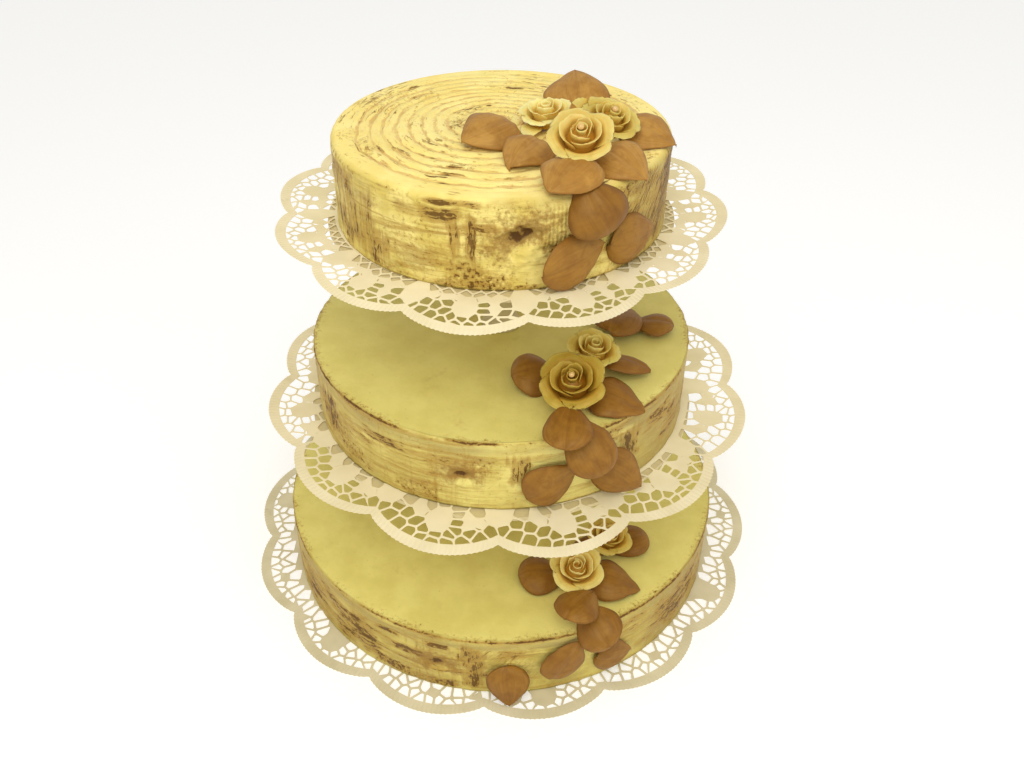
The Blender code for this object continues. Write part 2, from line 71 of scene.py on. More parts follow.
# The pattern of one lobe of each paper, as (degrees from the valley, radius in millimetres) for a
# hole and with a half-size for a solid medallion. The bars between them all have one width.
TOP_NET = (
    ((1.7, 146.4), (4.7, 150), (7.6, 153.3), (10.5, 156.2), (13.7, 158.2), (17.1, 158.6),
     (19.7, 158.2), (22.4, 157), (25.3, 154.6), (28, 150.5), (4.7, 142.8), (8, 144.4),
     (10.2, 148.6), (10.3, 140.2), (6.3, 133.2), (12.9, 134.2), (20.4, 151.8), (20.3, 146.0),
     (20.2, 140), (25.3, 147.4), (25.3, 139.6), (19.4, 134.0), (23.8, 132.2), (4.6, 127.6),
     (9, 128.6), (14.4, 129.4), (18.2, 128.8), (21.8, 127.8), (25.4, 127.2), (6.2, 123.2),
     (11.4, 124.2), (16.6, 124.6), (20.4, 123.6), (24.0, 123.0), (12.2, 153.0), (18.0, 153.6),
     (15.0, 153.4)),
    ((15.2, 147.2, 4.9), (15.2, 142.6, 6.4), (15.2, 138.6, 4.9), (22.7, 143.6, 2.9),
     (22.4, 136.5, 2.6), (0.6, 138.6, 6.8), (0.6, 131.6, 6.4), (9.6, 133.8, 2.4)),
)
MIDDLE_NET = (
    ((1.3, 172.6), (4.2, 178.6), (7.4, 183.2), (10.7, 186.8), (13.4, 188.2), (16, 189.8),
     (19.2, 188.2), (22.4, 186.6), (26.1, 182.2), (28.5, 175), (4.5, 169), (8.1, 172.4),
     (10.6, 177.6), (10.4, 166.2), (6.4, 160), (12.4, 159.4), (20.5, 178.2), (23.8, 178.6),
     (25.6, 170), (20.4, 171.4), (24.6, 160.5), (15.3, 155.6), (19.5, 156.4), (13.2, 182.6),
     (16.2, 183.6), (19.4, 182.8), (20.2, 164.2)),
    ((15.9, 176.0, 6.0), (15.9, 170.4, 7.6), (15.9, 165.0, 5.6), (23.2, 173.6, 2.8),
     (22.9, 165.4, 3.0), (0.3, 163.4, 7.6), (0.3, 155.4, 7.4), (9.6, 162, 2.6)),
)
BOTTOM_SHIELD = (
    ((0, 209.5), (2.2, 209), (3.4, 215), (4.8, 204.8), (5.7, 215.8), (6.7, 208), (7.4, 220.5),
     (9.1, 211.5), (9.6, 218.3), (11.7, 221.8), (13.6, 221.5), (15.6, 218.2), (17.4, 220.5),
     (16.5, 211.8), (17, 205.2), (19, 210.4), (19.7, 215.6), (20.3, 205.8), (22, 215),
     (23.6, 211), (22.7, 206.2)),
    ((12.9, 211.5, 8.2), (12.9, 203, 9)),
)
BOTTOM_STAR = (
    ((0, 209.5), (2.4, 209.3), (3.9, 213.6), (4.4, 205.8), (6.2, 215), (7.1, 209.6), (8.5, 218),
     (8.8, 205.4), (10, 210), (10.8, 216), (12.4, 209.8), (12.2, 219.9), (14.2, 218.6),
     (15, 206.4), (16.2, 217.9), (17.2, 210.8), (18.2, 220.4), (20.3, 216.7), (20, 209.9),
     (22.4, 216.7), (22.3, 206.7), (23.8, 210.8)),
    ((14.6, 213, 2.0),),
)

# Each paper: scallops, radius at their valleys and tips, first valley in degrees, middle, width of
# the plain rim, how far its edge curls and ripples, radius of its flat part, turn of the pattern,
# width of the bars, half-size of a hole, how much of a hole's corners is cut, patterns.
PAPERS = {
    "bottom": dict(lobes=14, valley=0.2185, tip=0.2315, turn=266.4, middle=(0.0, 0.0),
                   rim=0.0085, curl=0.0, ripple=0.0, flat=0.150, offset=0.0, bar=0.0019,
                   hole=0.0022, corner=0.10, patterns=(BOTTOM_SHIELD, BOTTOM_STAR)),
    "middle": dict(lobes=12, valley=0.1860, tip=0.1995, turn=267.8, middle=(0.005, CAKE_Y + 0.004),
                   rim=0.0082, curl=0.0050, ripple=0.0006, flat=0.1670, offset=-0.4,
                   bar=0.00145, hole=0.0036, corner=0.13, patterns=(MIDDLE_NET,)),
    "top": dict(lobes=12, valley=0.1557, tip=0.1665, turn=276.6, middle=(-0.001, CAKE_Y + 0.004),
                rim=0.0072, curl=0.0055, ripple=0.0006, flat=0.1340, offset=-0.5, bar=0.00135,
                hole=0.0032, corner=0.13, patterns=(TOP_NET,)),
}

# Leaves on top: name, heading, pitch, roll, length, width, in degrees and millimetres, as in the
# solids.
LYING_LEAVES = (
    ("top_1", 218, 0, -14, 43, 42),
    ("top_2", 238, 4, -8, 39, 36),
    ("top_3", 90, -31, 0, 42, 49),
    ("top_4", 328, 6, 12, 43, 38),
    ("top_5", 312, 8, 12, 42, 38),
    ("top_6", 234, 5, -4, 42, 42),
    ("middle_2", 168, 2, 6, 38, 34),
    ("middle_1", 66, 2, 0, 52, 38),
    ("middle_5", 336, 4, 8, 43, 40),
    ("middle_4", 344, -4, -16, 40, 36),
    ("middle_3", 12, 0, 16, 40, 38),
    ("middle_6", 80, -14, 0, 44, 35),
    ("bottom_1", 8, 2, 4, 43, 38),
    ("bottom_2", 348, 4, 6, 42, 38),
    ("bottom_3", 200, 2, 0, 40, 36),
    ("bottom_4", 150, 6, 0, 34, 30),
    ("bottom_5", 52, 4, 0, 40, 35),
)
# Leaves on a side: name, direction from the cake's axis, tip, lean, length, width.
CLINGING_LEAVES = (
    ("top_7", 315.2, 95, 6, 47, 35),
    ("top_8", 291.8, 80, -8, 51, 36),
    ("top_9", 297.0, -20, -24, 37, 42),
    ("middle_9", 283.5, 60, 2, 44, 38),
    ("middle_7", 302.3, 134, 24, 46, 36),
    ("middle_8", 292.0, -16, -40, 46, 38),
    ("bottom_6", 298.0, 106, 6, 36, 31),
    ("bottom_8", 285.0, 30, 2, 44, 36),
    ("bottom_9", 271.5, 176, 26, 36, 34),
    ("bottom_7", 292.2, -30, -62, 39, 37),
)
# name, lean, direction of the lean, size, turn, pearl, share of yellow, brightness that is painted
# light and shade.
ROSES = (
    ("top_left", 10, 230, 0.90, 20, False, 1.4, 1.06),
    ("top_right", 22, 310, 0.98, 75, True, 0.5, 0.93),
    ("top_front", 28, 262, 1.00, 0, True, 0.4, 0.97),
    ("middle_back", 12, 300, 0.94, 50, False, 0.9, 0.96),
    ("middle_front", 24, 256, 1.14, 10, True, -0.2, 0.81),
    ("bottom_back", 12, 300, 0.88, 40, False, 0.3, 0.92),
    ("bottom_front", 18, 270, 1.00, 30, False, 0.8, 1.00),
)
# Petals that reach past their rose: rose, direction, half-width, reach and height in millimetres.
STRAY_PETALS = (
    ("top_left", 228, 28, 23.0, 8.0),
    ("top_left", 318, 34, 24.0, 13.0),
    ("top_right", 158, 20, 27.0, 15.0),
)
# Rings of petals: count, first angle, half-width in degrees, rim radius, drop below the heart,
# curl outwards and down, seed.
PETAL_RINGS = (
    (2, 2.3, 106, 0.0068, 0.0004, 0.0004, 0.0004, 20),
    (2, 0.9, 112, 0.0114, 0.0012, 0.0014, 0.0014, 30),
    (4, 0.4, 68, 0.0184, 0.0034, 0.0030, 0.0040, 40),
)
# Loose sugar pearls on the top cake, from its middle, in millimetres.
LOOSE_PEARLS = (
    (16.0, 4.5, 1.7), (17.6, -0.4, 1.4), (17.0, -4.4, 1.7), (15.0, 0.8, 1.3),
)

# Marks on the bark, by tier and pattern: degrees round the cake and half-width, millimetres above
# its underside and half-height, strength.
MARKS = {
    ("top", "streaks"): (
        (247, 12.0, 49.5, 6.5, 1.08), (253, 12.0, 60.0, 4.0, 1.12), (240, 19, 19, 9.0, 0.85),
        (222, 10, 48, 9, 0.60), (265, 6, 47, 6, 0.80), (300, 5, 12, 8, 0.50), (192, 12, 45, 14, 0.70),
    ),
    ("top", "strokes"): (
        (217, 14, 24, 28, 0.85), (204, 12, 34, 28, 0.90), (255.6, 2.4, 34, 22, 0.75),
        (260.8, 2.4, 36, 18, 0.80),
    ),
    ("top", "specks"): (
        (259, 10, 10, 11, 0.85), (268, 8, 6, 8, 0.80), (291, 10, 28, 3.0, 1.20),
        (278, 7, 1.5, 2.5, 1.00), (312, 6, 54, 8, 1.05), (345, 14, 34, 26, 0.60),
    ),
    ("top", "slants"): ((332, 24, 34, 34, 1.25),),
    ("middle", "streaks"): (
        (235, 9, 44, 6, 1.10), (321, 8, 44, 9, 1.10), (334, 12, 30, 20, 0.95), (223, 8, 36, 10, 1.00),
        (196, 12, 40, 20, 0.80),
    ),
    ("middle", "specks"): (
        (246, 7, 9, 8, 0.85), (264, 6, 40, 10, 0.70), (300, 6, 50, 8, 0.75), (218, 11, 20, 18, 0.75),
    ),
    ("middle", "strokes"): (
        (274.5, 3.4, 36, 18, 1.00), (308, 5, 36, 18, 1.05), (209, 8, 30, 24, 1.10),
    ),
    ("bottom", "streaks"): (
        (242, 4.0, 49.6, 4, 1.40), (254.8, 3.2, 49, 3.4, 1.40), (230, 14, 28, 26, 1.00),
        (211, 12, 30, 26, 1.00), (246, 6, 34, 6, 1.05), (273, 7, 46, 7, 0.80), (302, 12, 38, 20, 0.80),
        (322, 16, 32, 26, 0.90), (190, 14, 30, 28, 0.80),
    ),
    ("bottom", "strokes"): ((263.5, 4.0, 36, 18, 1.05), (263.5, 3.4, 15, 12, 1.00),),
    ("bottom", "specks"): (
        (272, 5, 12, 10, 0.60), (243, 6, 8, 7, 1.05), (254, 8, 5, 5, 0.95), (343, 16, 30, 28, 0.75),
    ),
    ("bottom", "slants"): ((270, 8, 34, 20, 0.70),),
}
# Knots: degrees, height, radius round the cake, radius upwards, depth (mm), how dark.
KNOTS = {
    "top": (276.8, 36.0, 16.0, 12.0, 6.0, 1.00),
    "middle": (259.4, 31.0, 11.0, 8.0, 2.6, 1.05),
    "bottom": (254.4, 29.0, 13.0, 9.0, 1.6, 1.00),
}
# Dark smears along the rings of the top cake, and patches of crumbs: degrees and half-width round
# the cake, radius and half-width in millimetres, strength.
RING_SMEARS = (
    (122, 24, 42, 4.0, 0.90), (79, 13, 79, 3.0, 0.75), (101, 7, 77, 2.5, 0.65),
    (275, 14, 90, 2.2, 0.80), (205, 16, 102, 5.0, 0.50), (170, 22, 32, 5.0, 0.60),
    (150, 30, 96, 6.0, 0.45), (215, 22, 74, 5.0, 0.50), (60, 40, 106, 5.0, 0.55),
)
RING_SPECKS = (
    (168, 26, 31, 7.0, 0.60), (202, 14, 98, 6.0, 0.50), (128, 22, 36, 6.0, 0.55),
    (250, 10, 72, 6.0, 0.45),
)
# Distance of the growth rings and of the strokes of the comb, rows of points on a rim and on a
# side, layers of the relief's noise and how far it starts from the origin.
RING_SPACING = 0.0092
COMB_PITCH = 0.0026
RIM_STEPS = 7
SIDE_ROWS = 60
NOISE_LAYERS = 3
NOISE_SHIFT = 31.7
# Papers: teeth of a scallop, depth of a tooth, points of the ring round the flat part and of the
# rim of a scallop, half the thickness, height of the lowest one, smallest hole (square metres),
# half the widest hole, how far a hole looks for its neighbours, plain strip round a cake, sharpest
# smooth edge in degrees.
TEETH = 28
TOOTH = 0.00035
FLAT_POINTS = 96
RIM_POINTS = 24
HALF_SHEET = 0.00018
LOWEST_SHEET = 0.00022
SMALLEST_HOLE = 3e-6
WIDEST_HOLE = 0.0075
NEIGHBOURS = 0.026
LACE_MARGIN = 0.0022
SMOOTH_ANGLE = 35
# Leaves, petals and rolled hearts: rows and columns of a sheet, thickness of a sheet; height of
# the heart's foot.
LEAF_GRID = (30, 19)
LEAF_THICKNESS = 0.00085
PETAL_GRID = (17, 27)
PETAL_THICKNESS = 0.0011
BUD_ROWS = 9
BUD_COLUMNS = 34
BUD_THICKNESS = 0.00055
BUD_FOOT = 0.0045
# Cream: tier, material, columns, rows on top, radius of the rim, two colours on top, two on the side.
# All three are one cream: the darker colours of the lower cakes, and sides darker than their tops, are
# painted shade.
CREAMS = (
    ("top", "cream_ringed", 640, 76, 0.0042, (246, 222, 126), (254, 236, 150), (216, 194, 98),
     (239, 221, 132)),
    ("middle", "cream_middle", 700, 24, 0.0016, (212, 199, 111), (222, 211, 124), (206, 188, 100),
     (226, 211, 122)),
    ("bottom", "cream_bottom", 760, 24, 0.0016, (217, 203, 112), (229, 217, 127), (187, 166, 80),
     (213, 196, 105)),
)
# Lights: name, place, what it looks at, size, watts, colour.
LIGHTS = (
    ("key", (-0.10, -0.85, 1.35), (0.0, 0.0, 0.3), 0.9, 8.5, (1.0, 0.97, 0.92)),
    ("fill", (1.3, -1.2, 0.9), (0.0, 0.0, 0.2), 1.2, 4, (1.0, 0.98, 0.95)),
)
# The camera, fitted to the ellipses of the tiers.
CAMERA_PLACE = (0.0, -0.648, 0.6421)
CAMERA_TILT = 52.98
LENS = 32.59
SENSOR = 36.0
LENS_SHIFT = 0.01055
# How much cocoa lies everywhere on a side, and along its rim.
SIDE_LOAD = {"streaks": 0.36, "strokes": 0.12, "specks": 0.24, "slants": -0.5}
RIM_LOAD = {"top": 0.25, "middle": 1.15, "bottom": 1.10}
# The load of a place that has none.
BARE = -0.3


# ---- noise on arrays


def lattice(cell, seed):
    """A fixed random number from 0 to 1 for every whole cell (three integer columns)."""
    mixed = (cell[..., 0] * 73856093) ^ (cell[..., 1] * 19349663) ^ (cell[..., 2] * 83492791)
    mixed = (mixed + seed * 2654435) & 0x7FFFFFFF
    mixed = ((mixed ^ (mixed >> 15)) * 2246822) & 0x7FFFFFFF
    mixed = ((mixed ^ (mixed >> 13)) * 3266489) & 0x7FFFFFFF
    return ((mixed ^ (mixed >> 16)) & 0xFFFFF) / float(0xFFFFF)


def value_noise(points, seed):
    """Smooth noise from -1 to 1."""
    cell = np.floor(points).astype(np.int64)
    part = points - cell
    part = part * part * (3 - 2 * part)
    total = np.zeros(points.shape[:-1])
    for corner in range(8):
        step = np.array([corner & 1, corner >> 1 & 1, corner >> 2 & 1])
        weight = np.prod(np.where(step, part, 1 - part), axis=-1)
        total += weight * lattice(cell + step, seed)
    return total * 2 - 1


def fractal(points, scale, seed):
    """Layers of noise; scale is cells per metre, one number or one for each axis."""
    total, weight, reach = 0.0, 1.0, 0.0
    for layer in range(NOISE_LAYERS):
        place = points * np.asarray(scale) * 2 ** layer + NOISE_SHIFT
        total = total + weight * value_noise(place, seed + layer)
        reach += weight
        weight *= 0.5
    return total / reach


def ease(value, low, high):
    """0 below low, 1 above high, smooth between."""
    part = np.clip((value - low) / (high - low), 0, 1)
    return part * part * (3 - 2 * part)


# ---- materials


class Graph:
    """A new material's node tree, filled through short calls."""

    def __init__(self, name):
        self.material = bpy.data.materials.new(name)
        self.material.use_nodes = True
        self.tree = self.material.node_tree
        self.shader = self.tree.nodes["Principled BSDF"]

    def put(self, socket, value):
        if isinstance(value, bpy.types.NodeSocket):
            self.tree.links.new(value, socket)
        else:
            socket.default_value = value

    def add(self, kind, values=(), **settings):
        node = self.tree.nodes.new("ShaderNode" + kind)
        for name, value in settings.items():
            setattr(node, name, value)
        for name, value in dict(values).items():
            self.put(node.inputs[name], value)
        return node

    def math(self, operation, *values):
        node = self.add("Math", operation=operation)
        for socket, value in zip(node.inputs, values):
            self.put(socket, value)
        return node.outputs[0]

    def times(self, first, second):
        return self.math("MULTIPLY", first, second)

    def plus(self, first, second):
        return self.math("ADD", first, second)

    def minus(self, first, second):
        return self.math("SUBTRACT", first, second)

    def wave(self, value, length=1.0):
        """A cosine that repeats after each length."""
        return self.math("COSINE", self.times(value, math.tau / length))

    def attribute(self, name):
        return self.add("Attribute", attribute_name=name).outputs["Fac"]

    def vector(self, x, y, z=0.0):
        return self.add("CombineXYZ", {"X": x, "Y": y, "Z": z}).outputs[0]

    def noise_at(self, vector, detail=4.0, roughness=0.6, distortion=0.0):
        """Noise from about 0 to 1, one cell for each unit of the vector."""
        values = {"Vector": vector, "Scale": 1.0, "Detail": detail, "Roughness": roughness,
                  "Distortion": distortion}
        return self.add("TexNoise", values).outputs["Fac"]

    def noise(self, scale, **looks):
        """Noise over the object; scale is cells per metre, one number or one for each axis."""
        source = self.add("TexCoord").outputs["Object"]
        place = self.add("VectorMath", {"Vector": source}, operation="MULTIPLY")
        place.inputs[1].default_value = scale if isinstance(scale, tuple) else (scale,) * 3
        return self.noise_at(place.outputs[0], **looks)

    def step(self, value, low, high, bottom=0.0, top=1.0):
        """Bottom below low, top above high, smooth between."""
        values = {"Value": value, "From Min": low, "From Max": high, "To Min": bottom, "To Max": top}
        return self.add("MapRange", values, interpolation_type="SMOOTHSTEP").outputs["Result"]

    def mix(self, share, first, second):
        # Sockets of a colour mix: 0 takes the share, 6 and 7 the colours, 2 gives the result.
        values = {0: share, 6: first, 7: second}
        return self.add("Mix", values, data_type="RGBA").outputs[2]

    def tinted(self, base, value, low, high, most, colour):
        """The base colour, drawn towards another by up to most as value goes from low to high."""
        return self.mix(self.step(value, low, high, 0.0, most), base, colour)

    def bumps(self, *layers):
        """The normal over layers of relief: (height, distance, strength) of each."""
        normal = None
        for height, distance, strength in layers:
            node = self.add("Bump", {"Height": height, "Distance": distance, "Strength": strength})
            if normal is not None:
                self.put(node.inputs["Normal"], normal)
            normal = node.outputs["Normal"]
        return normal

    def finish(self, colour, roughness, normal, **sockets):
        """The finished material; an underscore in a socket's name stands for a space."""
        values = {"Base Color": colour, "Roughness": roughness, "Normal": normal}
        values.update((name.replace("_", " "), value) for name, value in sockets.items())
        for name, value in values.items():
            self.put(self.shader.inputs[name], value)
        return self.material


def srgb(red, green, blue):
    """A colour given in 0..255 display values, as the shader's linear colour."""
    linear = []
    for channel in (red, green, blue):
        share = channel / 255
        linear.append(share / 12.92 if share <= 0.04045 else ((share + 0.055) / 1.055) ** 2.4)
    return (*linear, 1.0)


# Colour of the gloss on cream and marzipan.
WARM_GLOSS = (1.0, 0.82, 0.50, 1.0)


def cream_material(name, top_colours, side_colours, ringed):
    """Butter cream: smooth or ringed on top, brushed with cocoa where the attributes say so."""
    g = Graph(name)
    side = g.attribute("side")
    soft = g.noise(30, detail=3)
    fine = g.noise(260, detail=3)
    across = g.noise((14, 14, 170), roughness=0.55, distortion=0.9)
    upwards = g.noise((190, 190, 14), roughness=0.55, distortion=0.8)
    grains_across = g.noise((150, 150, 480), roughness=0.70, distortion=0.5)
    grains_upwards = g.noise((480, 480, 120), roughness=0.70, distortion=0.5)
    crumbs = g.noise(330, detail=5, roughness=0.70)
    # Diagonal scratches: long along their own direction and fine across it.
    arc, height = g.attribute("arc"), g.attribute("height")
    along = g.plus(g.times(arc, 50.0), g.times(height, 60.0))
    over = g.minus(g.times(height, 420.0), g.times(arc, 520.0))
    slants = g.noise_at(g.vector(along, over), detail=5.0, roughness=0.70, distortion=0.6)
    combed = g.times(g.wave(arc, COMB_PITCH), g.attribute("comb"))

    # The colours of top and side come from the table of creams, where darker sides and lower cakes are
    # painted shade.
    top_cream = g.mix(g.step(soft, 0.3, 0.7), *top_colours)
    side_cream = g.mix(g.step(soft, 0.38, 0.60), *side_colours)
    side_cream = g.tinted(side_cream, across, 0.50, 0.70, 0.55, srgb(198, 169, 84))
    cream = g.mix(side, top_cream, side_cream)
    # The comb's grooves are tinted darker: painted shade.
    cream = g.tinted(cream, combed, 0.0, -0.9, 0.30, srgb(186, 150, 66))
    relief = g.times(g.plus(across, g.times(grains_across, 0.35)), side)
    relief = g.plus(relief, g.times(combed, 0.16))
    dark_brown, light_brown = srgb(92, 58, 12), srgb(168, 131, 55)

    if ringed:
        # Strokes that run along the rings, and the lines in the grooves between them.
        phase, rings = g.attribute("phase"), g.attribute("ringed")
        turned = g.vector(g.attribute("round_x"), g.attribute("round_y"), g.times(phase, 3.2))
        strokes = g.noise_at(turned, detail=5.0, roughness=0.62, distortion=0.2)
        patch = g.noise(22, detail=3, distortion=0.8)
        wave = g.wave(g.plus(phase, g.times(g.minus(strokes, 0.5), 0.9)))
        line = g.times(g.step(wave, 0.45, 0.98), g.step(patch, 0.34, 0.58, 0.30, 1.0))
        hair = g.times(g.step(strokes, 0.54, 0.66), g.step(patch, 0.40, 0.62, 0.15, 0.8))
        cover = g.times(g.math("MAXIMUM", line, hair), rings)
        cream = g.mix(g.times(cover, 0.70), cream, srgb(208, 162, 92))
        edge = g.minus(0.745, g.times(g.attribute("smear"), 0.27))
        cream = g.tinted(cream, strokes, g.minus(edge, 0.07), edge, 0.7, light_brown)
        cream = g.tinted(cream, strokes, edge, g.plus(edge, 0.06), 0.9, dark_brown)
        relief = g.plus(relief, g.times(strokes, rings))

    # Grey-brown washes, then ochre-brown painted shade towards the left and right of the lower cakes,
    # then the dark cocoa, in grains, that stands on the ridges.
    grey = g.times(g.attribute("grey"), g.step(soft, 0.30, 0.62, 0.45, 1.0))
    cream = g.mix(g.times(grey, 0.85), cream, srgb(160, 142, 84))
    cream = g.mix(g.times(g.attribute("side_shade"), 0.48), cream, srgb(166, 128, 50))
    washes, darks = [], []
    for pattern, brush, grains in (("streaks", across, grains_across),
                                   ("strokes", upwards, grains_upwards),
                                   ("specks", crumbs, crumbs), ("slants", slants, slants)):
        density = g.attribute(pattern)
        edge = g.minus(0.76, g.times(density, 0.36))
        soaked = g.plus(g.times(brush, 0.70), g.times(grains, 0.30))
        washes.append(g.step(soaked, g.minus(edge, 0.15), g.plus(edge, 0.09), 0.0, 0.74))
        start = g.minus(0.730, g.times(density, 0.218))
        broken = g.plus(g.times(brush, 0.40), g.times(grains, 0.60))
        darks.append(g.step(broken, start, g.plus(start, 0.04), 0.0, 0.90))
    for shares, brown in ((washes, light_brown), (darks, dark_brown)):
        for share in shares:
            cream = g.mix(share, cream, brown)

    # Knots: a brown stain round them and a dark heart, both ragged.
    knot = g.plus(g.attribute("knot"), g.times(g.minus(crumbs, 0.5), 0.9))
    cream = g.tinted(cream, knot, 0.10, 0.55, 0.85, srgb(146, 108, 46))
    cream = g.tinted(cream, knot, 0.66, 0.95, 0.95, srgb(78, 44, 10))

    normal = g.bumps((relief, 0.0022, 0.65), (fine, 0.0006, 0.35), (crumbs, 0.0004, 0.30))
    return g.finish(cream, g.step(fine, 0.3, 0.7, 0.42, 0.60), normal, Specular_Tint=WARM_GLOSS,
                    Specular_IOR_Level=0.40, Subsurface_Weight=0.06, Subsurface_Scale=0.003)


def paper_material(name, first, second):
    """Lace paper: matt, with fine embossed rays on the rim."""
    g = Graph(name)
    grain = g.noise(900, detail=3)
    raised = g.times(g.wave(g.attribute("rays")), g.attribute("rim"))
    colour = g.mix(g.step(g.noise(30, detail=2), 0.3, 0.7), first, second)
    # The raised rays are tinted a little darker: painted shade that marks the embossing.
    colour = g.tinted(colour, raised, 0.2, 1.0, 0.10, srgb(214, 200, 160))
    return g.finish(colour, 0.85, g.bumps((raised, 0.0003, 0.35), (grain, 0.0001, 0.4)))


def leaf_material(name, light_and_shade):
    """Marzipan dusted with cocoa: fine veins that fan from the base, darker rims."""
    g = Graph(name)

    # The factor darkens the whole leaf, its blue most: painted light and shade of where the leaf lies.
    def tint(red, green, blue):
        return srgb(red * light_and_shade, green * light_and_shade ** 1.35, blue * light_and_shade ** 3)

    soft = g.noise(45, detail=3, distortion=0.5)
    fine = g.noise(520, roughness=0.65)
    blotch = g.noise(140, distortion=0.6)
    fan = g.vector(g.times(g.attribute("across"), 13.0), g.times(g.attribute("along"), 1.8),
                   g.attribute("leaf"))
    veins = g.noise_at(fan, distortion=0.15)
    colour = g.mix(g.step(soft, 0.34, 0.66), tint(166, 118, 48), tint(188, 142, 68))
    # What tints the leaf: value, from, to, how much, colour.
    for value, low, high, most, other in ((blotch, 0.44, 0.70, 0.50, (148, 100, 38)),
                                          (veins, 0.52, 0.68, 0.30, (140, 94, 40)),
                                          (veins, 0.46, 0.34, 0.25, (204, 160, 90)),
                                          (g.attribute("vein"), 0.25, 1.0, 0.25, (134, 88, 38)),
                                          (g.attribute("edge"), 0.86, 1.0, 0.45, (138, 92, 38))):
        colour = g.tinted(colour, value, low, high, most, tint(*other))
    normal = g.bumps((veins, 0.0004, 0.28), (blotch, 0.0006, 0.35), (fine, 0.0002, 0.30))
    return g.finish(colour, 0.50, normal, Specular_Tint=WARM_GLOSS, Subsurface_Weight=0.03,
                    Subsurface_Scale=0.002)


def rose_material(name, yellow, light_and_shade):
    """Marzipan petals: pale rims, darker and warmer towards the foot, deep in the rose, as painted
    shade.
    """
    g = Graph(name)

    # The last factor brightens or darkens the whole rose: painted light and shade of where it lies.
    def tint(red, green, blue):
        return srgb((red + 2 * yellow) * light_and_shade, (green + 14 * yellow) * light_and_shade,
                    (blue + 4 * yellow) * light_and_shade ** 3)

    rise = g.attribute("rise")
    # Darker and warmer low on each petal and on the rose's foot: painted shade deep in the rose.
    colour = g.mix(g.step(rise, 0.10, 0.75), tint(186, 126, 42), tint(220, 180, 92))
    colour = g.tinted(colour, rise, 0.68, 1.0, 0.85, tint(236, 210, 138))
    colour = g.tinted(colour, g.noise(80, detail=2), 0.42, 0.70, 0.35, tint(204, 158, 70))
    normal = g.bumps((g.noise(420, detail=3), 0.0002, 0.3))
    return g.finish(colour, 0.45, normal, Specular_Tint=WARM_GLOSS, Subsurface_Weight=0.15,
                    Subsurface_Scale=0.004)


def plain_material(name, colour, roughness, grain, **sockets):
    """One colour with a faint fine grain."""
    g = Graph(name)
    speck = g.noise(300, detail=2)
    shade = tuple(channel * 0.94 for channel in colour[:3]) + (1.0,)
    mixed = g.mix(g.step(speck, 0.35, 0.65), colour, shade)
    return g.finish(mixed, roughness, g.bumps((speck, grain, 0.3)), **sockets)


# ---- pieces


def new_piece(name, mesh, finish, slot, *nodes):
    """A piece that rides on the cake's one body and stands for these CAD nodes."""
    made = bpy.data.objects.new(name, mesh)
    bpy.context.scene.collection.objects.link(made)
    mesh.materials.clear()
    mesh.materials.append(finish)
    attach(made, "root")
    if nodes:
        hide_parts(*nodes)


def set_attributes(mesh, attributes):
    """One number for each point of the mesh, under each name."""
    for key, values in attributes.items():
        layer = mesh.attributes.new(key, "FLOAT", "POINT")
        layer.data.foreach_set("value", np.ascontiguousarray(values, np.float32).ravel())


def points_of(mesh):
    """The points of a mesh, one row each."""
    at = np.empty(len(mesh.vertices) * 3)
    mesh.vertices.foreach_get("co", at)
    return at.reshape(-1, 3)


def turn_outwards(mesh, close_ends=False):
    """Turns all faces outwards, after closing the open ends if asked."""
    work = bmesh.new()
    work.from_mesh(mesh)
    if close_ends:
        ends = [edge for edge in work.edges if edge.is_boundary]
        bmesh.ops.holes_fill(work, edges=ends, sides=0)
    bmesh.ops.recalc_face_normals(work, faces=work.faces)
    work.to_mesh(mesh)
    work.free()


def grid_mesh(name, points, attributes):
    """A mesh of rows of points (rows x columns x 3), each row closed on itself."""
    rows, columns = points.shape[:2]
    here = np.arange(rows * columns).reshape(rows, columns)
    after = np.roll(here, -1, axis=1)
    faces = np.stack([here[:-1], here[1:], after[1:], after[:-1]], axis=-1).reshape(-1, 4)
    mesh = bpy.data.meshes.new(name)
    mesh.from_pydata(points.reshape(-1, 3), [], faces)
    set_attributes(mesh, attributes)
    mesh.shade_smooth()
    return mesh


def turn_from(angle, degrees):
    """Degrees from a direction, -180 to 180."""
    return (np.degrees(angle) - degrees + 180) % 360 - 180


def soft_box(across, upward):
    """1 where both are small, 0 where either is over 1, with a soft edge."""
    return 1 - ease(np.maximum(np.abs(across), np.abs(upward)), 0.50, 1.20)


def bell(value, width):
    return np.exp(-(value / width) ** 2)


def mark_cover(tier, pattern, angle, z, flat):
    """How strongly a tier's marks of one pattern cover each place of its side, with torn ends."""
    cover = np.zeros_like(z)
    stray = 0.55 * fractal(flat, (50, 50, 160), len(pattern) + 30)
    rise = 0.45 * fractal(flat, (70, 70, 40), len(pattern) + 33)
    for turn, half_turn, middle, half_height, strength in MARKS.get((tier, pattern), ()):
        box = soft_box(turn_from(angle, turn) / half_turn + stray,
                       (z / MM - middle) / half_height + rise)
        cover = np.maximum(cover, strength * box)
    return cover


def comb_patch(angle, high, flat):
    """1 on the patch of thicker cream, combed upwards, that ends in a torn lower edge."""
    degrees = np.degrees(angle)
    torn = 29.5 + 3.5 * fractal(flat, 130, 24)
    patch = ease(degrees, 280.5, 283.0) * (1 - ease(degrees, 300, 304))
    return patch * ease(high, torn, torn + 1.2) * (1 - ease(high, 56, 61))


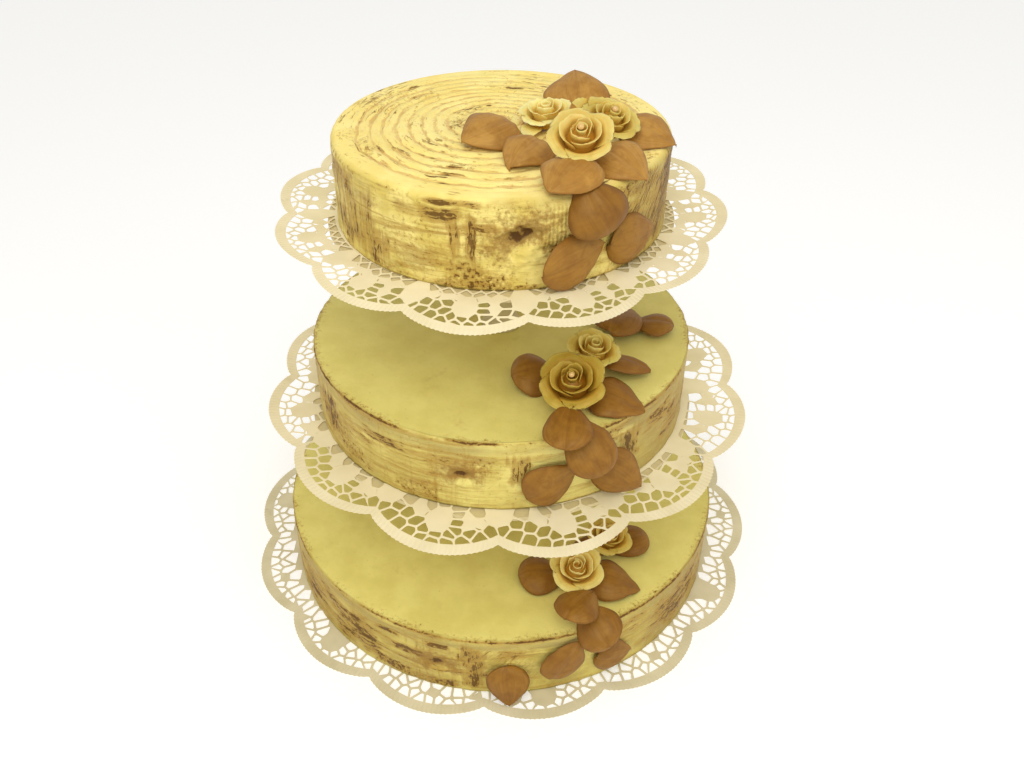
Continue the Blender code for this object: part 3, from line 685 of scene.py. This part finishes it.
def side_relief(tier, angle, z, flat):
    """Millimetres that the cream stands out at each place of a cake's side."""
    seed = len(tier)
    level = 0.9 * fractal(flat, 22, seed) + 0.5 * fractal(flat, (60, 60, 300), seed + 5)
    for pattern, scale, shift in (("strokes", (300, 300, 25), 9), ("streaks", (45, 45, 330), 13)):
        cover = mark_cover(tier, pattern, angle, z, flat)
        level = level + cover * fractal(flat, scale, seed + shift)
    if tier == "top":
        high = z / MM
        level = level + 2.0 * comb_patch(angle, high, flat)
        for turn, width in ((256.2, 0.55), (258.6, 0.45), (260.9, 0.40)):
            groove = bell(turn_from(angle, turn) + (high - 40) * 0.045, width)
            level = level - 1.1 * groove * ease(high, 8, 16) * (1 - ease(high, 50, 56))
    return level


def knot_relief(tier, angle, z, flat):
    """(millimetres sunk, 0 to 1 how deep in the knot) at each place of a cake's side."""
    turn, middle, wide, tall, depth, stain = KNOTS[tier]
    across = np.radians(turn_from(angle, turn)) * CAKE_RADIUS[tier] / MM / wide
    upward = (z / MM - middle) / tall
    ragged = 0.60 * fractal(flat, 75, 77) + 0.40 * fractal(flat, 190, 76)
    reach = np.hypot(across, upward) + ragged * tall / 12
    inside = 1 - ease(reach, 0.05, 1.05)
    rim = bell(reach - 1.15, 0.28)
    # Pale lumps of cream close the knot from below.
    arch = bell(np.hypot(across * 1.4 - 0.2, upward + 1.05), 0.66)
    lumps = np.clip(fractal(flat, 150, 78) + 0.45, 0, 1) * arch
    sunk = depth * (inside * (1 - 0.6 * arch) - 0.25 * rim) - 2.4 * lumps
    halo = 0.62 * bell(reach, 1.7)
    return sunk, np.clip(np.maximum(inside * 1.15, halo) - 1.1 * arch, 0, 1) * stain


def ring_marks(rows, angle, r):
    """(where it lies, strength) of each mark along the rings of the top cake."""
    for degrees, half_turn, middle, half_radius, strength in rows:
        box = soft_box(turn_from(angle, degrees) / half_turn, (r / MM - middle) / half_radius)
        yield box, strength


def ring_relief(angle, r, flat, radius):
    """(metres lifted, attributes) of the growth rings brushed on the top cake."""
    inside = 1 - r / radius
    dx = flat[..., 0] - RING_HEART[0] * inside
    dy = flat[..., 1] - RING_HEART[1] * inside
    turn = np.arctan2(dy, dx)
    phase = np.hypot(dx, dy) / RING_SPACING
    phase = phase + 0.50 * fractal(flat, 15, 51) + 0.16 * fractal(flat, 60, 52)
    ringed = 1 - ease(r, radius - 0.0150, radius - 0.0100)
    groove = (0.5 + 0.5 * np.cos(phase * math.tau)) ** 2
    finer = np.cos(phase * math.tau * 3 + 1.0 + 3 * fractal(flat, 30, 54))
    depth = 1.3 + 0.7 * fractal(flat, 24, 55)
    lift = -MM * ringed * (depth * groove + 0.22 * finer * (1 - groove))
    lift = lift + 0.0003 * fractal(flat, 120, 56) * ringed + 0.0006 * (1 - ringed)
    smear = np.clip(0.28 + 0.55 * fractal(flat, 20, 66), 0, 0.6)
    for box, strength in ring_marks(RING_SMEARS, angle, r):
        smear = np.maximum(smear, strength * box)
        lift = lift - 0.0009 * box * (0.5 + fractal(flat, 110, 57))
    crumbs = np.clip(0.10 + 0.70 * fractal(flat, 26, 67), 0, 0.48)
    for box, strength in ring_marks(RING_SPECKS, angle, r):
        crumbs = np.maximum(crumbs, strength * box)
    return lift, dict(phase=phase, ringed=ringed, smear=smear, crumbs=crumbs,
                      round_x=6.0 * np.cos(turn), round_y=6.0 * np.sin(turn))


def cake_profile(radius, edge, top_rows):
    """(radius, height, share of side) down the outline: top, rounded rim, side, underside."""
    rows = [(r + 1e-6, TIER_HEIGHT, 0.0) for r in np.linspace(0, radius - edge, top_rows)]
    for i in range(1, RIM_STEPS):
        turn = math.pi / 2 * i / RIM_STEPS
        rows.append((radius - edge * (1 - math.sin(turn)), TIER_HEIGHT - edge * (1 - math.cos(turn)),
                     math.sin(turn)))
    rows += [(radius, (TIER_HEIGHT - edge) * (1 - i / SIDE_ROWS), 1.0) for i in range(SIDE_ROWS + 1)]
    rows += [(radius - 0.0015, 0.0, 0.0), (1e-6, 0.0, 0.0)]
    return np.array(rows)


def cocoa_attributes(tier, angle, r, z, flat, edge, side, on_top, crumbs):
    """Where the cocoa lies on a cake: the marks, a little everywhere, the rim and the foot."""
    seed = len(tier)
    found = {}
    breakup = 1 + 0.6 * fractal(flat, 45, seed + 60)
    for pattern, load in SIDE_LOAD.items():
        loose = load + 0.42 * fractal(flat, 15, seed + len(pattern))
        cover = mark_cover(tier, pattern, angle, z, flat) * breakup
        cover = np.maximum(np.where(cover > 0.02, cover, BARE), np.clip(loose, BARE, 0.8))
        found[pattern] = np.minimum(cover, 1.4) * side + BARE * (1 - side)
    rim_load = np.clip(RIM_LOAD[tier] + 1.7 * fractal(flat, 34, seed + 70), 0, 1.4)
    out = np.where(z > 1e-6, side, 0)
    rim_line = bell(z - (TIER_HEIGHT - edge * 0.6), 0.0020) * out
    strip = ease(r, CAKE_RADIUS[tier] - 0.0036, CAKE_RADIUS[tier] - 0.0012) * on_top
    foot_load = bell(z, 0.0025) * side * np.clip(0.5 + fractal(flat, 24, seed), 0, 1)
    for load in (rim_line * rim_load, strip * rim_load * 0.50, foot_load, crumbs):
        found["specks"] = np.maximum(found["specks"], load)
    found["streaks"] = np.maximum(found["streaks"], rim_line * rim_load)
    return found


def wash_attributes(tier, angle, z, flat):
    """Where the side of a cake is washed with grey-brown, and where painted ochre-brown shade darkens
    the lower cakes towards their left and right.
    """
    degrees = np.degrees(angle)
    lower = tier != "top"
    band = bell(z - 0.0545, 0.0035) * lower
    blotches = np.clip(1.5 * fractal(flat, (24, 24, 70), len(tier) + 80) - 0.10, 0, 1)
    olive = ease(degrees, 304, 316) * (1 - ease(degrees, 350, 359))
    grey = band * (0.65 + 0.5 * fractal(flat, 25, 81)) + 0.7 * blotches + 0.85 * olive
    # Darker towards the left and right of the lower cakes' sides: painted shade.
    left = ease(degrees, 100, 180) * (1 - ease(degrees, 205, 255))
    right = ease(degrees, 290, 330) * (1 - ease(degrees, 335, 359))
    side_shade = (left + 0.8 * right) * lower * (0.8 + 0.5 * fractal(flat, 30, 82))
    return dict(grey=np.clip(grey, 0, 1), side_shade=np.clip(side_shade, 0, 1))


def cake_piece(tier, columns, top_rows, edge, finish):
    """The cream of one cake: top, rim and side as one fine skin, closed below."""
    radius = CAKE_RADIUS[tier]
    seed = len(tier)
    profile = cake_profile(radius, edge, top_rows)
    angle, r = np.meshgrid(np.arange(columns) / columns * math.tau, profile[:, 0])
    z = np.repeat(profile[:, 1:2], columns, axis=1)
    out = np.repeat(profile[:, 2:3], columns, axis=1)
    flat = np.stack([r * np.cos(angle), r * np.sin(angle), z], axis=-1)
    on_top = z > TIER_HEIGHT - 1e-6

    sunk, knot = knot_relief(tier, angle, z, flat)
    foot = ease(z / MM, 0.0, 2.5)
    stand = (side_relief(tier, angle, z, flat) - sunk) * foot * MM * out
    ragged = bell(z - TIER_HEIGHT + edge * 0.5, 0.0022) * out
    stand = stand + 0.0007 * fractal(flat, 150, 3) * np.maximum(ragged, out * (1 - foot))

    attributes = {}
    if tier == "top":
        lift, attributes = ring_relief(angle, r, flat, radius)
        for key in ("ringed", "smear", "crumbs"):
            attributes[key] = attributes[key] * on_top
    else:
        lift = 0.0004 * fractal(flat, 20, seed + 40) + 0.00025 * fractal(flat, (160, 18, 20), seed + 41)
    points = flat.copy()
    points[..., 0] += stand * np.cos(angle)
    points[..., 1] += stand * np.sin(angle)
    points[..., 2] += lift * (1 - out) * (z > 1e-6)
    points += np.array([0.0, CAKE_Y, BASE[tier]])

    side = out * (z > 1e-6)
    crumbs = attributes.pop("crumbs", 0 * z)
    attributes.update(cocoa_attributes(tier, angle, r, z, flat, edge, side, on_top, crumbs))
    comb = comb_patch(angle, z / MM, flat) * (tier == "top")
    on_side = dict(wash_attributes(tier, angle, z, flat), knot=knot, comb=comb)
    attributes.update({key: values * side for key, values in on_side.items()})
    arc = np.radians(turn_from(angle, 270)) * radius
    attributes.update(side=side, arc=arc, height=z)
    mesh = grid_mesh("cake_" + tier, points, attributes)
    new_piece("cream_" + tier, mesh, finish, "butter_cream", "cake_" + tier)


# ---- papers


def scallop(angle, made_of):
    """The radius of a paper's outline at an angle."""
    turn = math.radians(made_of["turn"])
    along = (angle - turn) * made_of["lobes"] / math.tau % 1.0
    return made_of["valley"] + (made_of["tip"] - made_of["valley"]) * math.sin(math.pi * along) ** 0.75


def clip(polygon, normal, limit):
    """The part of a convex polygon where dot(point, normal) <= limit."""
    kept = []
    for i, here in enumerate(polygon):
        before = polygon[i - 1]
        side_here = here.dot(normal) - limit
        side_before = before.dot(normal) - limit
        if (side_here <= 0) != (side_before <= 0):
            kept.append(before.lerp(here, side_before / (side_before - side_here)))
        if side_here <= 0:
            kept.append(here)
    return kept


def area_of(polygon):
    return abs(sum(a.x * b.y - b.x * a.y for a, b in zip(polygon, polygon[1:] + polygon[:1]))) / 2


def rounded(polygon, share=0.2):
    """Cuts the corners of a hole."""
    cut = []
    for here, after in zip(polygon, polygon[1:] + polygon[:1]):
        cut += [here.lerp(after, share), here.lerp(after, 1 - share)]
    return cut


def polar(radius, angle):
    return Vector((radius * math.cos(angle), radius * math.sin(angle)))


def lace_sites(made_of):
    """Middles of a paper's holes and solids, all round it: (place, half-size, is it a hole)."""
    lobe = math.tau / made_of["lobes"]
    turn = math.radians(made_of["turn"] + made_of["offset"])
    patterns = made_of["patterns"]
    sites = []
    for i in range(made_of["lobes"]):
        holes, solids = patterns[i % len(patterns)]
        rows = [(degrees, radius, made_of["hole"], True) for degrees, radius in holes]
        rows += [(degrees, radius, size * MM, False) for degrees, radius, size in solids]
        for degrees, radius, size, is_hole in rows:
            sites.append((polar(radius * MM, turn + i * lobe + math.radians(degrees)), size, is_hole))
    return sites


def lace_cell(site, sites, bar):
    """The room of one hole between its neighbours, drawn in by half a bar on every side."""
    middle, size = site[:2]
    cell = [middle + Vector(corner) * WIDEST_HOLE for corner in ((-1, -1), (1, -1), (1, 1), (-1, 1))]
    for place, other_size, _ in sites:
        apart = place - middle
        distance = apart.length
        if distance < 1e-6 or distance > NEIGHBOURS:
            continue
        normal = apart / distance
        split = (distance ** 2 + size ** 2 - other_size ** 2) / (2 * distance)
        cell = clip(cell, normal, middle.dot(normal) + split - bar / 2)
        if len(cell) < 3:
            return []
    return cell


def lace_holes(tier, made_of):
    """The outlines of all the holes of a paper."""
    sites = lace_sites(made_of)
    inner = CAKE_RADIUS[tier] + LACE_MARGIN
    holes = []
    for site in sites:
        if not site[2]:
            continue
        cell = lace_cell(site, sites, made_of["bar"])
        if len(cell) < 3 or area_of(cell) < SMALLEST_HOLE:
            continue
        outward = site[0].normalized()
        cell = clip(cell, -outward, -inner)
        if len(cell) < 3:
            continue
        fitted = []
        for point in rounded(cell, made_of["corner"]):
            limit = scallop(math.atan2(point.y, point.x), made_of) - made_of["rim"]
            fitted.append(point if point.length < limit else point * (limit / point.length))
        holes.append(fitted)
    return holes


def paper_plan(tier, made_of):
    """(points, faces) of a flat paper: pinked outline, holes, and rings that carry the curl."""
    lobes, start = made_of["lobes"], math.radians(made_of["turn"])

    def ring(count, first, reach):
        """A closed row of points; reach gives the radius from the angle and the number."""
        angles = [first + math.tau * i / count for i in range(count)]
        return [polar(reach(angle, i), angle) for i, angle in enumerate(angles)]

    outline = ring(lobes * TEETH * 3, start, lambda angle, i:
                   scallop(angle, made_of) + TOOTH * math.cos(math.tau * i / 3))
    flat_ring = ring(FLAT_POINTS, 0.0, lambda angle, i: made_of["flat"])
    mid_rim = ring(lobes * RIM_POINTS, start, lambda angle, i:
                   scallop(angle, made_of) - made_of["rim"] * 0.45)
    places, edges, owner = [], [], []
    for number, loop in enumerate([outline] + lace_holes(tier, made_of)):
        first = len(places)
        places += loop
        owner += [number] * len(loop)
        edges += [(first + i, first + (i + 1) % len(loop)) for i in range(len(loop))]
    for loop in (flat_ring, mid_rim):
        places += loop
        owner += [-1] * len(loop)
    points, _, faces, origin = delaunay_2d_cdt(places, edges, [], 1, 1e-7)[:4]
    owners = [owner[source[0]] if source else -1 for source in origin]
    kept = []
    for face in faces:
        # A face whose corners all belong to one hole lies in it.
        numbers = {owners[i] for i in face}
        if len(numbers) > 1 or max(numbers) <= 0:
            kept.append(tuple(face))
    return points, kept


def paper_piece(tier, finish):
    """A scalloped paper with a pinked edge and all its holes."""
    made_of = PAPERS[tier]
    points, faces = paper_plan(tier, made_of)
    work = bmesh.new()
    sheets = []
    for side in (1, -1):
        row = []
        for point in points:
            out = (point.length - made_of["flat"]) / (made_of["tip"] - made_of["flat"])
            out = max(out, 0.0)
            angle = math.atan2(point.y, point.x)
            z = made_of["curl"] * out ** 1.5 * math.cos(2 * angle)
            z += made_of["ripple"] * out * math.sin(5 * angle + 1.0)
            row.append(work.verts.new((point.x, point.y, z + side * HALF_SHEET)))
        sheets.append(row)
    used = {}
    for face in faces:
        work.faces.new([sheets[0][i] for i in face])
        work.faces.new([sheets[1][i] for i in reversed(face)])
        used.update(dict.fromkeys(zip(face, face[1:] + face[:1])))
    for a, b in used:
        if (b, a) not in used:
            work.faces.new((sheets[0][b], sheets[0][a], sheets[1][a], sheets[1][b]))
    bmesh.ops.delete(work, geom=[v for v in work.verts if not v.link_faces], context="VERTS")
    mesh = bpy.data.meshes.new("paper_" + tier)
    work.to_mesh(mesh)
    work.free()
    turn_outwards(mesh)
    at = points_of(mesh)
    around = np.arctan2(at[:, 1], at[:, 0])
    rim = np.array([np.hypot(x, y) - scallop(a, made_of) + made_of["rim"]
                    for (x, y), a in zip(at[:, :2], around)])
    set_attributes(mesh, dict(rays=around / math.tau * made_of["lobes"] * TEETH,
                              rim=ease(rim, 0.0, made_of["rim"] * 0.3)))
    mesh.shade_smooth()
    mesh.set_sharp_from_angle(angle=math.radians(SMOOTH_ANGLE))
    height = LOWEST_SHEET if tier == "bottom" else BASE[tier] - GAP - PAPER / 2
    mesh.transform(Matrix.Translation((*made_of["middle"], height)))
    new_piece("lace_" + tier, mesh, finish, "lace_paper", "paper_" + tier)


# ---- leaves


def node_points(name):
    """The different corners of a CAD node, one row each."""
    return np.unique(np.round(points_of(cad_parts[name].data), 6), axis=0)


class LeafShape:
    """The sheet of one leaf, by the rule that the solids use."""

    def __init__(self, seed, length, width):
        chance = random.Random(seed)
        self.length, self.width = length, width
        self.dome = chance.uniform(0.10, 0.20) * width
        self.bend = chance.uniform(0.03, 0.10) * length
        self.wave = chance.uniform(0.0008, 0.0020)
        self.phase = chance.uniform(0, math.tau)

    def half(self, along):
        outline = along ** LEAF_BASE_POWER * (1 - along) ** LEAF_TIP_POWER / LEAF_WIDEST
        return self.width / 2 * outline

    def at(self, along, across):
        half = self.half(along)
        crease = 0.0009 * np.exp(-(across / 0.22) ** 2) * np.minimum(1.0, half / self.width * 4)
        height = self.dome * (1 - across * across) * np.minimum(1.0, half / self.width * 2) - crease
        height = height - self.bend * along * along
        height = height + self.wave * across * np.sin(self.phase + along * 5.5)
        return np.stack([(along - 0.5) * self.length, across * half, height], axis=-1)

    def corners(self):
        """The grid of points that the solid has, each once."""
        found = [self.at(np.array([0.0]), np.array([0.0])), self.at(np.array([1.0]), np.array([0.0]))]
        for along in LEAF_ROWS:
            found.append(self.at(np.full(len(LEAF_COLUMNS), along), np.array(LEAF_COLUMNS)))
        return np.concatenate(found)


def leaf_piece(name, seed, turned_by, length, width, finish):
    """A thin waved leaf with veins, where its plain solid stands."""
    shape = LeafShape(seed, length * MM, width * MM)
    matrix = np.array(turned_by)
    shift = node_points("leaf_" + name).mean(axis=0) - matrix @ shape.corners().mean(axis=0)

    rows, columns = LEAF_GRID
    even = np.linspace(0, 1, rows)
    along = np.clip(0.55 * (0.5 - 0.5 * np.cos(math.pi * even)) + 0.45 * even, 0.0008, 0.9995)
    v, u = np.meshgrid(np.linspace(-1, 1, columns), along)
    sheet = shape.at(u, v)
    flat = np.stack([u * length / 40, v * width / 40, np.full_like(u, seed * 1.7)], axis=-1)

    # Veins: a midrib and side veins that run forward from it.
    midrib = np.exp(-(v / 0.055) ** 2) * (1 - 0.5 * u)
    lean = u - 0.30 * np.abs(v) - 0.025 * np.sign(v)
    side = np.exp(-((((lean * 7.5) % 1.0) - 0.5) / 0.13) ** 2) * ease(np.abs(v), 0.04, 0.25)
    side = side * (1 - ease(np.abs(v), 0.75, 1.0))
    crumple = value_noise(flat * 5.0, 3) + 0.5 * value_noise(flat * 11.0, 4)
    relief = -0.00030 * midrib - 0.00006 * side + 0.00030 * crumple
    ruffle = 0.0008 * np.abs(v) ** 3 * value_noise(flat * 7.0, 9) * (1 - ease(u, 0.8, 1.0))
    sheet[..., 2] += relief + ruffle
    blunt = 0.20 * ease(u, 0.80, 0.96)
    sheet[..., 1] *= 1 + blunt + 0.030 * value_noise(flat * 6.0, 12)

    def both_faces(values, sign=1):
        return np.concatenate([values, sign * values[:, ::-1]], axis=1)

    # Both faces, thinner towards the rim.
    rim = np.maximum(np.abs(v), np.abs(u - 0.5) * 2)
    points = both_faces(sheet)
    points[..., 2] += both_faces(LEAF_THICKNESS * (1 - 0.72 * ease(rim, 0.72, 1.0)), -1)
    vein = np.maximum(midrib, 0.25 * side)
    edge = np.maximum(np.abs(v), ease(np.abs(u - 0.5) * 2, 0.8, 1.0))
    attributes = dict(vein=vein, edge=edge, across=v, along=u, leaf=np.full_like(u, 3.7 * seed))
    attributes = {key: both_faces(values) for key, values in attributes.items()}
    mesh = grid_mesh("leaf_" + name, points @ matrix.T + shift, attributes)
    turn_outwards(mesh, close_ends=True)
    new_piece("leaf_fine_" + name, mesh, finish, "leaf_marzipan", "leaf_" + name)


def turn_of_lying(heading, pitch, roll):
    """The turn of a leaf on top of a cake."""
    turned_by = Matrix.Rotation(math.radians(heading), 3, "Z")
    turned_by = turned_by @ Matrix.Rotation(math.radians(pitch), 3, "Y")
    return turned_by @ Matrix.Rotation(math.radians(roll), 3, "X")


def turn_of_clinging(turn, tip, lean):
    """The turn of a leaf that clings to the side of a cake."""
    angle = math.radians(turn)
    out = Vector((math.cos(angle), math.sin(angle), 0.0))
    upright = Vector((0.0, 0.0, 1.0))
    around = upright.cross(out)
    along = upright * math.cos(math.radians(tip)) + around * math.sin(math.radians(tip))
    standing = Matrix((along, out.cross(along), out)).transposed()
    return standing @ Matrix.Rotation(math.radians(-lean), 3, "Y")


# ---- roses


def both_sides(turn, radius, height, thickness, level):
    """Outer, then inner face of a sheet round the rose's axis, with the level of each point."""
    faces = []
    for r in (radius + thickness / 2, radius - thickness / 2):
        faces.append(np.stack([r * np.cos(turn), r * np.sin(turn), height], axis=-1))
    return np.concatenate([faces[0], faces[1][::-1]]), np.concatenate([level, level[::-1]])


def petal(centre, half_width, foot, rim, curl, tuck, seed):
    """One petal sheet with both faces: rows from foot to rim, in metres round the rose's axis.

    foot and rim are (radius, height); curl is how far the rim rolls outwards and down.
    """
    rows, columns = PETAL_GRID
    rise, side = np.meshgrid(np.linspace(0, 1, rows), np.linspace(-1, 1, columns), indexing="ij")
    turn = centre + side * half_width
    t = rise * (1 - 0.42 * np.abs(side) ** 3)
    place = np.stack([np.cos(turn) * 3, np.sin(turn) * 3, rise * 2 + seed], axis=-1)
    wobble = value_noise(place * 0.8, seed)
    ripple = value_noise(place * 2.0, seed + 5)
    radius = foot[0] + (rim[0] - foot[0]) * t ** 0.80 + tuck * side
    height = foot[1] + (rim[1] - foot[1]) * t ** 1.10
    roll = ease(t, 0.58, 1.0)
    radius = radius + curl[0] * roll ** 2 + 0.0012 * wobble * t
    height = height - curl[1] * roll ** 2.2 + 0.0007 * ripple * roll + 0.0010 * wobble * t
    height = height + 0.0005 * value_noise(place * 9, seed + 9) * ease(rise, 0.85, 1.0)
    thinner = np.sqrt(1 - 0.86 * ease(rise, 0.80, 1.0)) * (1 - 0.6 * ease(np.abs(side), 0.8, 1.0))
    return both_sides(turn, radius, height, PETAL_THICKNESS * thinner, t)


def spiral_bud(height, turns, start, growth, seed):
    """The rolled heart: one long sheet wound outwards, higher in the middle."""
    rise, wind = np.meshgrid(np.linspace(0, 1, BUD_ROWS), np.linspace(0, 1, int(BUD_COLUMNS * turns)),
                             indexing="ij")
    angle = wind * turns * math.tau
    radius = start + growth * wind * turns
    top = height - 0.0016 * wind * turns - 0.0002 * np.sin(angle * 1.5 + seed)
    level = BUD_FOOT + (top - BUD_FOOT) * rise
    radius = radius * (0.80 + 0.20 * rise ** 0.6) + 0.0007 * ease(rise, 0.75, 1.0) * wind
    place = np.stack([np.cos(angle) * 3, np.sin(angle) * 3, rise], -1)
    radius = radius + 0.0002 * value_noise(place, seed)
    return both_sides(angle, radius, level, BUD_THICKNESS * (1 - 0.4 * rise), rise)


def receptacle():
    """The solid foot that the petals grow from."""
    profile = ((0.0001, 0.0), (0.0068, 0.0), (0.0098, 0.0022), (0.0104, 0.0072),
               (0.0078, 0.0112), (0.0044, 0.0138), (0.0001, 0.0150))
    columns = 24
    angle = np.arange(columns + 1) / columns * math.tau
    points = np.array([[[r * math.cos(a), r * math.sin(a), z] for a in angle] for r, z in profile])
    return points, np.full(points.shape[:2], 0.05)


def join_sheets(name, sheets):
    """One mesh of several grids (rows x columns), with the attribute rise."""
    points, faces, levels, first = [], [], [], 0
    for grid, level in sheets:
        rows, columns = grid.shape[:2]
        index = np.arange(rows * columns).reshape(rows, columns) + first
        quads = np.stack([index[:-1, :-1], index[:-1, 1:], index[1:, 1:], index[1:, :-1]], axis=-1)
        points.append(grid.reshape(-1, 3))
        levels.append(level.ravel())
        faces.append(quads.reshape(-1, 4))
        # The two open ends of a folded sheet are closed by its own rows.
        half = rows // 2
        if rows % 2 == 0 and half > 4:
            for column in (0, columns - 1):
                up, down = index[:, column], index[::-1, column]
                strip = np.stack([up[:half - 1], up[1:half], down[1:half], down[:half - 1]], axis=-1)
                faces.append(strip if column else strip[:, ::-1])
        first += rows * columns
    mesh = bpy.data.meshes.new(name)
    mesh.from_pydata(np.concatenate(points), [], np.concatenate(faces))
    set_attributes(mesh, {"rise": np.concatenate(levels)})
    turn_outwards(mesh)
    mesh.shade_smooth()
    return mesh


def pearl_piece(name, radius, place):
    """A sugar bead."""
    work = bmesh.new()
    bmesh.ops.create_uvsphere(work, u_segments=20, v_segments=12, radius=radius)
    mesh = bpy.data.meshes.new("pearl")
    work.to_mesh(mesh)
    work.free()
    mesh.shade_smooth()
    mesh.transform(Matrix.Translation(place))
    new_piece(name, mesh, PEARL, "rose_marzipan")


def rose_piece(name, lean, lean_to, size, turn, pearl, yellow, light_and_shade):
    """A rose of single petals round a rolled heart, where its plain solid stands."""
    chance = random.Random(sum(map(ord, name)))
    axis = Matrix.Rotation(math.radians(lean_to), 3, "Z")
    turned_by = axis @ Matrix.Rotation(math.radians(lean), 3, "Y") @ axis.inverted()
    matrix = np.array(turned_by)
    local = node_points("rose_" + name) @ matrix
    lowest = local[:, 2].min()
    foot = local[:, 2] < lowest + 2e-5
    shift = Vector(matrix @ np.array([*local[foot, :2].mean(axis=0), lowest]))

    start = math.radians(turn + 90)
    sheets = [receptacle(), spiral_bud(HEART_HEIGHT, 1.3, 0.0017, 0.0020, 3)]
    for count, first, half, reach, drop, out, down, seed in PETAL_RINGS:
        for i in range(count):
            centre = start + first + math.tau * i / count + chance.uniform(-0.12, 0.12)
            high = HEART_HEIGHT - drop - chance.uniform(0, 0.0010)
            low = (min(0.0066, 0.6 * reach), 0.0030)
            sheets.append(petal(centre, math.radians(half), low, (reach, high), (out, down),
                                0.0011, seed + i))
    for owner, direction, half, reach, high in STRAY_PETALS:
        if owner == name:
            rim = (reach * MM / size, high * MM)
            sheets.append(petal(math.radians(direction), math.radians(half), (0.0060, 0.0050), rim,
                                (0.0010, 0.0030), 0.0009, direction))
    mesh = join_sheets("rose_" + name, sheets)
    mesh.transform(Matrix.Scale(size, 4))
    mesh.transform(Matrix.Translation(shift) @ turned_by.to_4x4())
    finish = rose_material("rose_" + name, yellow, light_and_shade)
    new_piece("rose_fine_" + name, mesh, finish, "rose_marzipan", "rose_" + name)
    if pearl:
        up = turned_by @ Vector((0.0, 0.0, (HEART_HEIGHT - PEARL_RADIUS * 0.5) * size))
        pearl_piece("pearl_" + name, PEARL_RADIUS, shift + up)


# ---- the cake

for tier, name, columns, top_rows, edge, *colours in CREAMS:
    colours = [srgb(*colour) for colour in colours]
    cream = cream_material(name, colours[:2], colours[2:], tier == "top")
    cake_piece(tier, columns, top_rows, edge, cream)

LACE = paper_material("lace_paper", srgb(228, 215, 173), srgb(238, 226, 187))
# The bottom paper is a darker copy of the same paper: painted shade.
SHADED_LACE = paper_material("lace_paper_shaded", srgb(208, 197, 158), srgb(222, 212, 176))
for tier in TIERS:
    paper_piece(tier, SHADED_LACE if tier == "bottom" else LACE)

# One leaf colour in lit and shaded copies: the lit one for leaves lying on the top cake, darker ones,
# painted shade, on its side and on the lower cakes.
LIT_LEAF = leaf_material("leaf_lit", 0.97)
SHADED_LEAF = leaf_material("leaf_shaded", 0.83)
LOWER_SHADED_LEAF = leaf_material("leaf_shaded_lower", 0.79)
# The leaf right under the roses, darker still: painted shade.
UNDER_ROSE_SHADED_LEAF = leaf_material("leaf_shaded_under_rose", 0.74)
for seed, (name, *angles, length, width) in enumerate(CLINGING_LEAVES):
    finish = SHADED_LEAF if name.startswith("top") else LOWER_SHADED_LEAF
    if name == "top_9":
        finish = UNDER_ROSE_SHADED_LEAF
    leaf_piece(name, seed, turn_of_clinging(*angles), length, width, finish)
for seed, (name, *angles, length, width) in enumerate(LYING_LEAVES, start=len(CLINGING_LEAVES)):
    finish = LIT_LEAF if name.startswith("top") else LOWER_SHADED_LEAF
    leaf_piece(name, seed, turn_of_lying(*angles), length, width, finish)

PEARL = plain_material("sugar_pearl", srgb(218, 178, 106), 0.22, 0.00002, Coat_Weight=0.5)
for row in ROSES:
    rose_piece(*row)
for number, (x, y, size) in enumerate(LOOSE_PEARLS):
    place = Vector((x * MM, CAKE_Y + y * MM, TOP["top"] + (size - 0.5) * MM))
    pearl_piece("loose_pearl_%d" % number, size * MM, place)

CARRIER = plain_material("separator_plastic", srgb(206, 190, 140), 0.55, 0.0001)
for name in ("separator_middle", "separator_top", "pillar_middle", "pillar_top"):
    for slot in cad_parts[name].material_slots:
        slot.material = CARRIER

# ---- floor, light, camera

bpy.ops.mesh.primitive_plane_add(size=6.0, location=(0.0, 0.0, -0.0003))
floor = bpy.context.object
floor.name = "floor"
floor.data.materials.append(plain_material(
    "floor_white", srgb(248, 248, 247), 0.9, 0.00005,
    Emission_Color=(1.0, 1.0, 0.99, 1.0), Emission_Strength=0.22))

bpy.context.scene.view_settings.view_transform = "Standard"
world = bpy.data.worlds.new("studio")
bpy.context.scene.world = world
world.use_nodes = True
background = world.node_tree.nodes["Background"]
background.inputs["Color"].default_value = (1.0, 0.99, 0.97, 1.0)
background.inputs["Strength"].default_value = 0.72

for name, place, target, size, watts, colour in LIGHTS:
    data = bpy.data.lights.new(name, "AREA")
    data.shape = "DISK"
    data.size = size
    data.energy = watts
    data.color = colour
    light = bpy.data.objects.new(name, data)
    bpy.context.scene.collection.objects.link(light)
    light.location = place
    light.rotation_euler = (Vector(target) - Vector(place)).to_track_quat("-Z", "Y").to_euler()

camera_data = bpy.data.cameras.new("camera")
camera_data.sensor_width = SENSOR
camera_data.lens = LENS
camera_data.shift_x = LENS_SHIFT
camera = bpy.data.objects.new("camera", camera_data)
camera.location = CAMERA_PLACE
camera.rotation_euler = (math.radians(CAMERA_TILT), 0.0, 0.0)
bpy.context.scene.collection.objects.link(camera)
bpy.context.scene.camera = camera
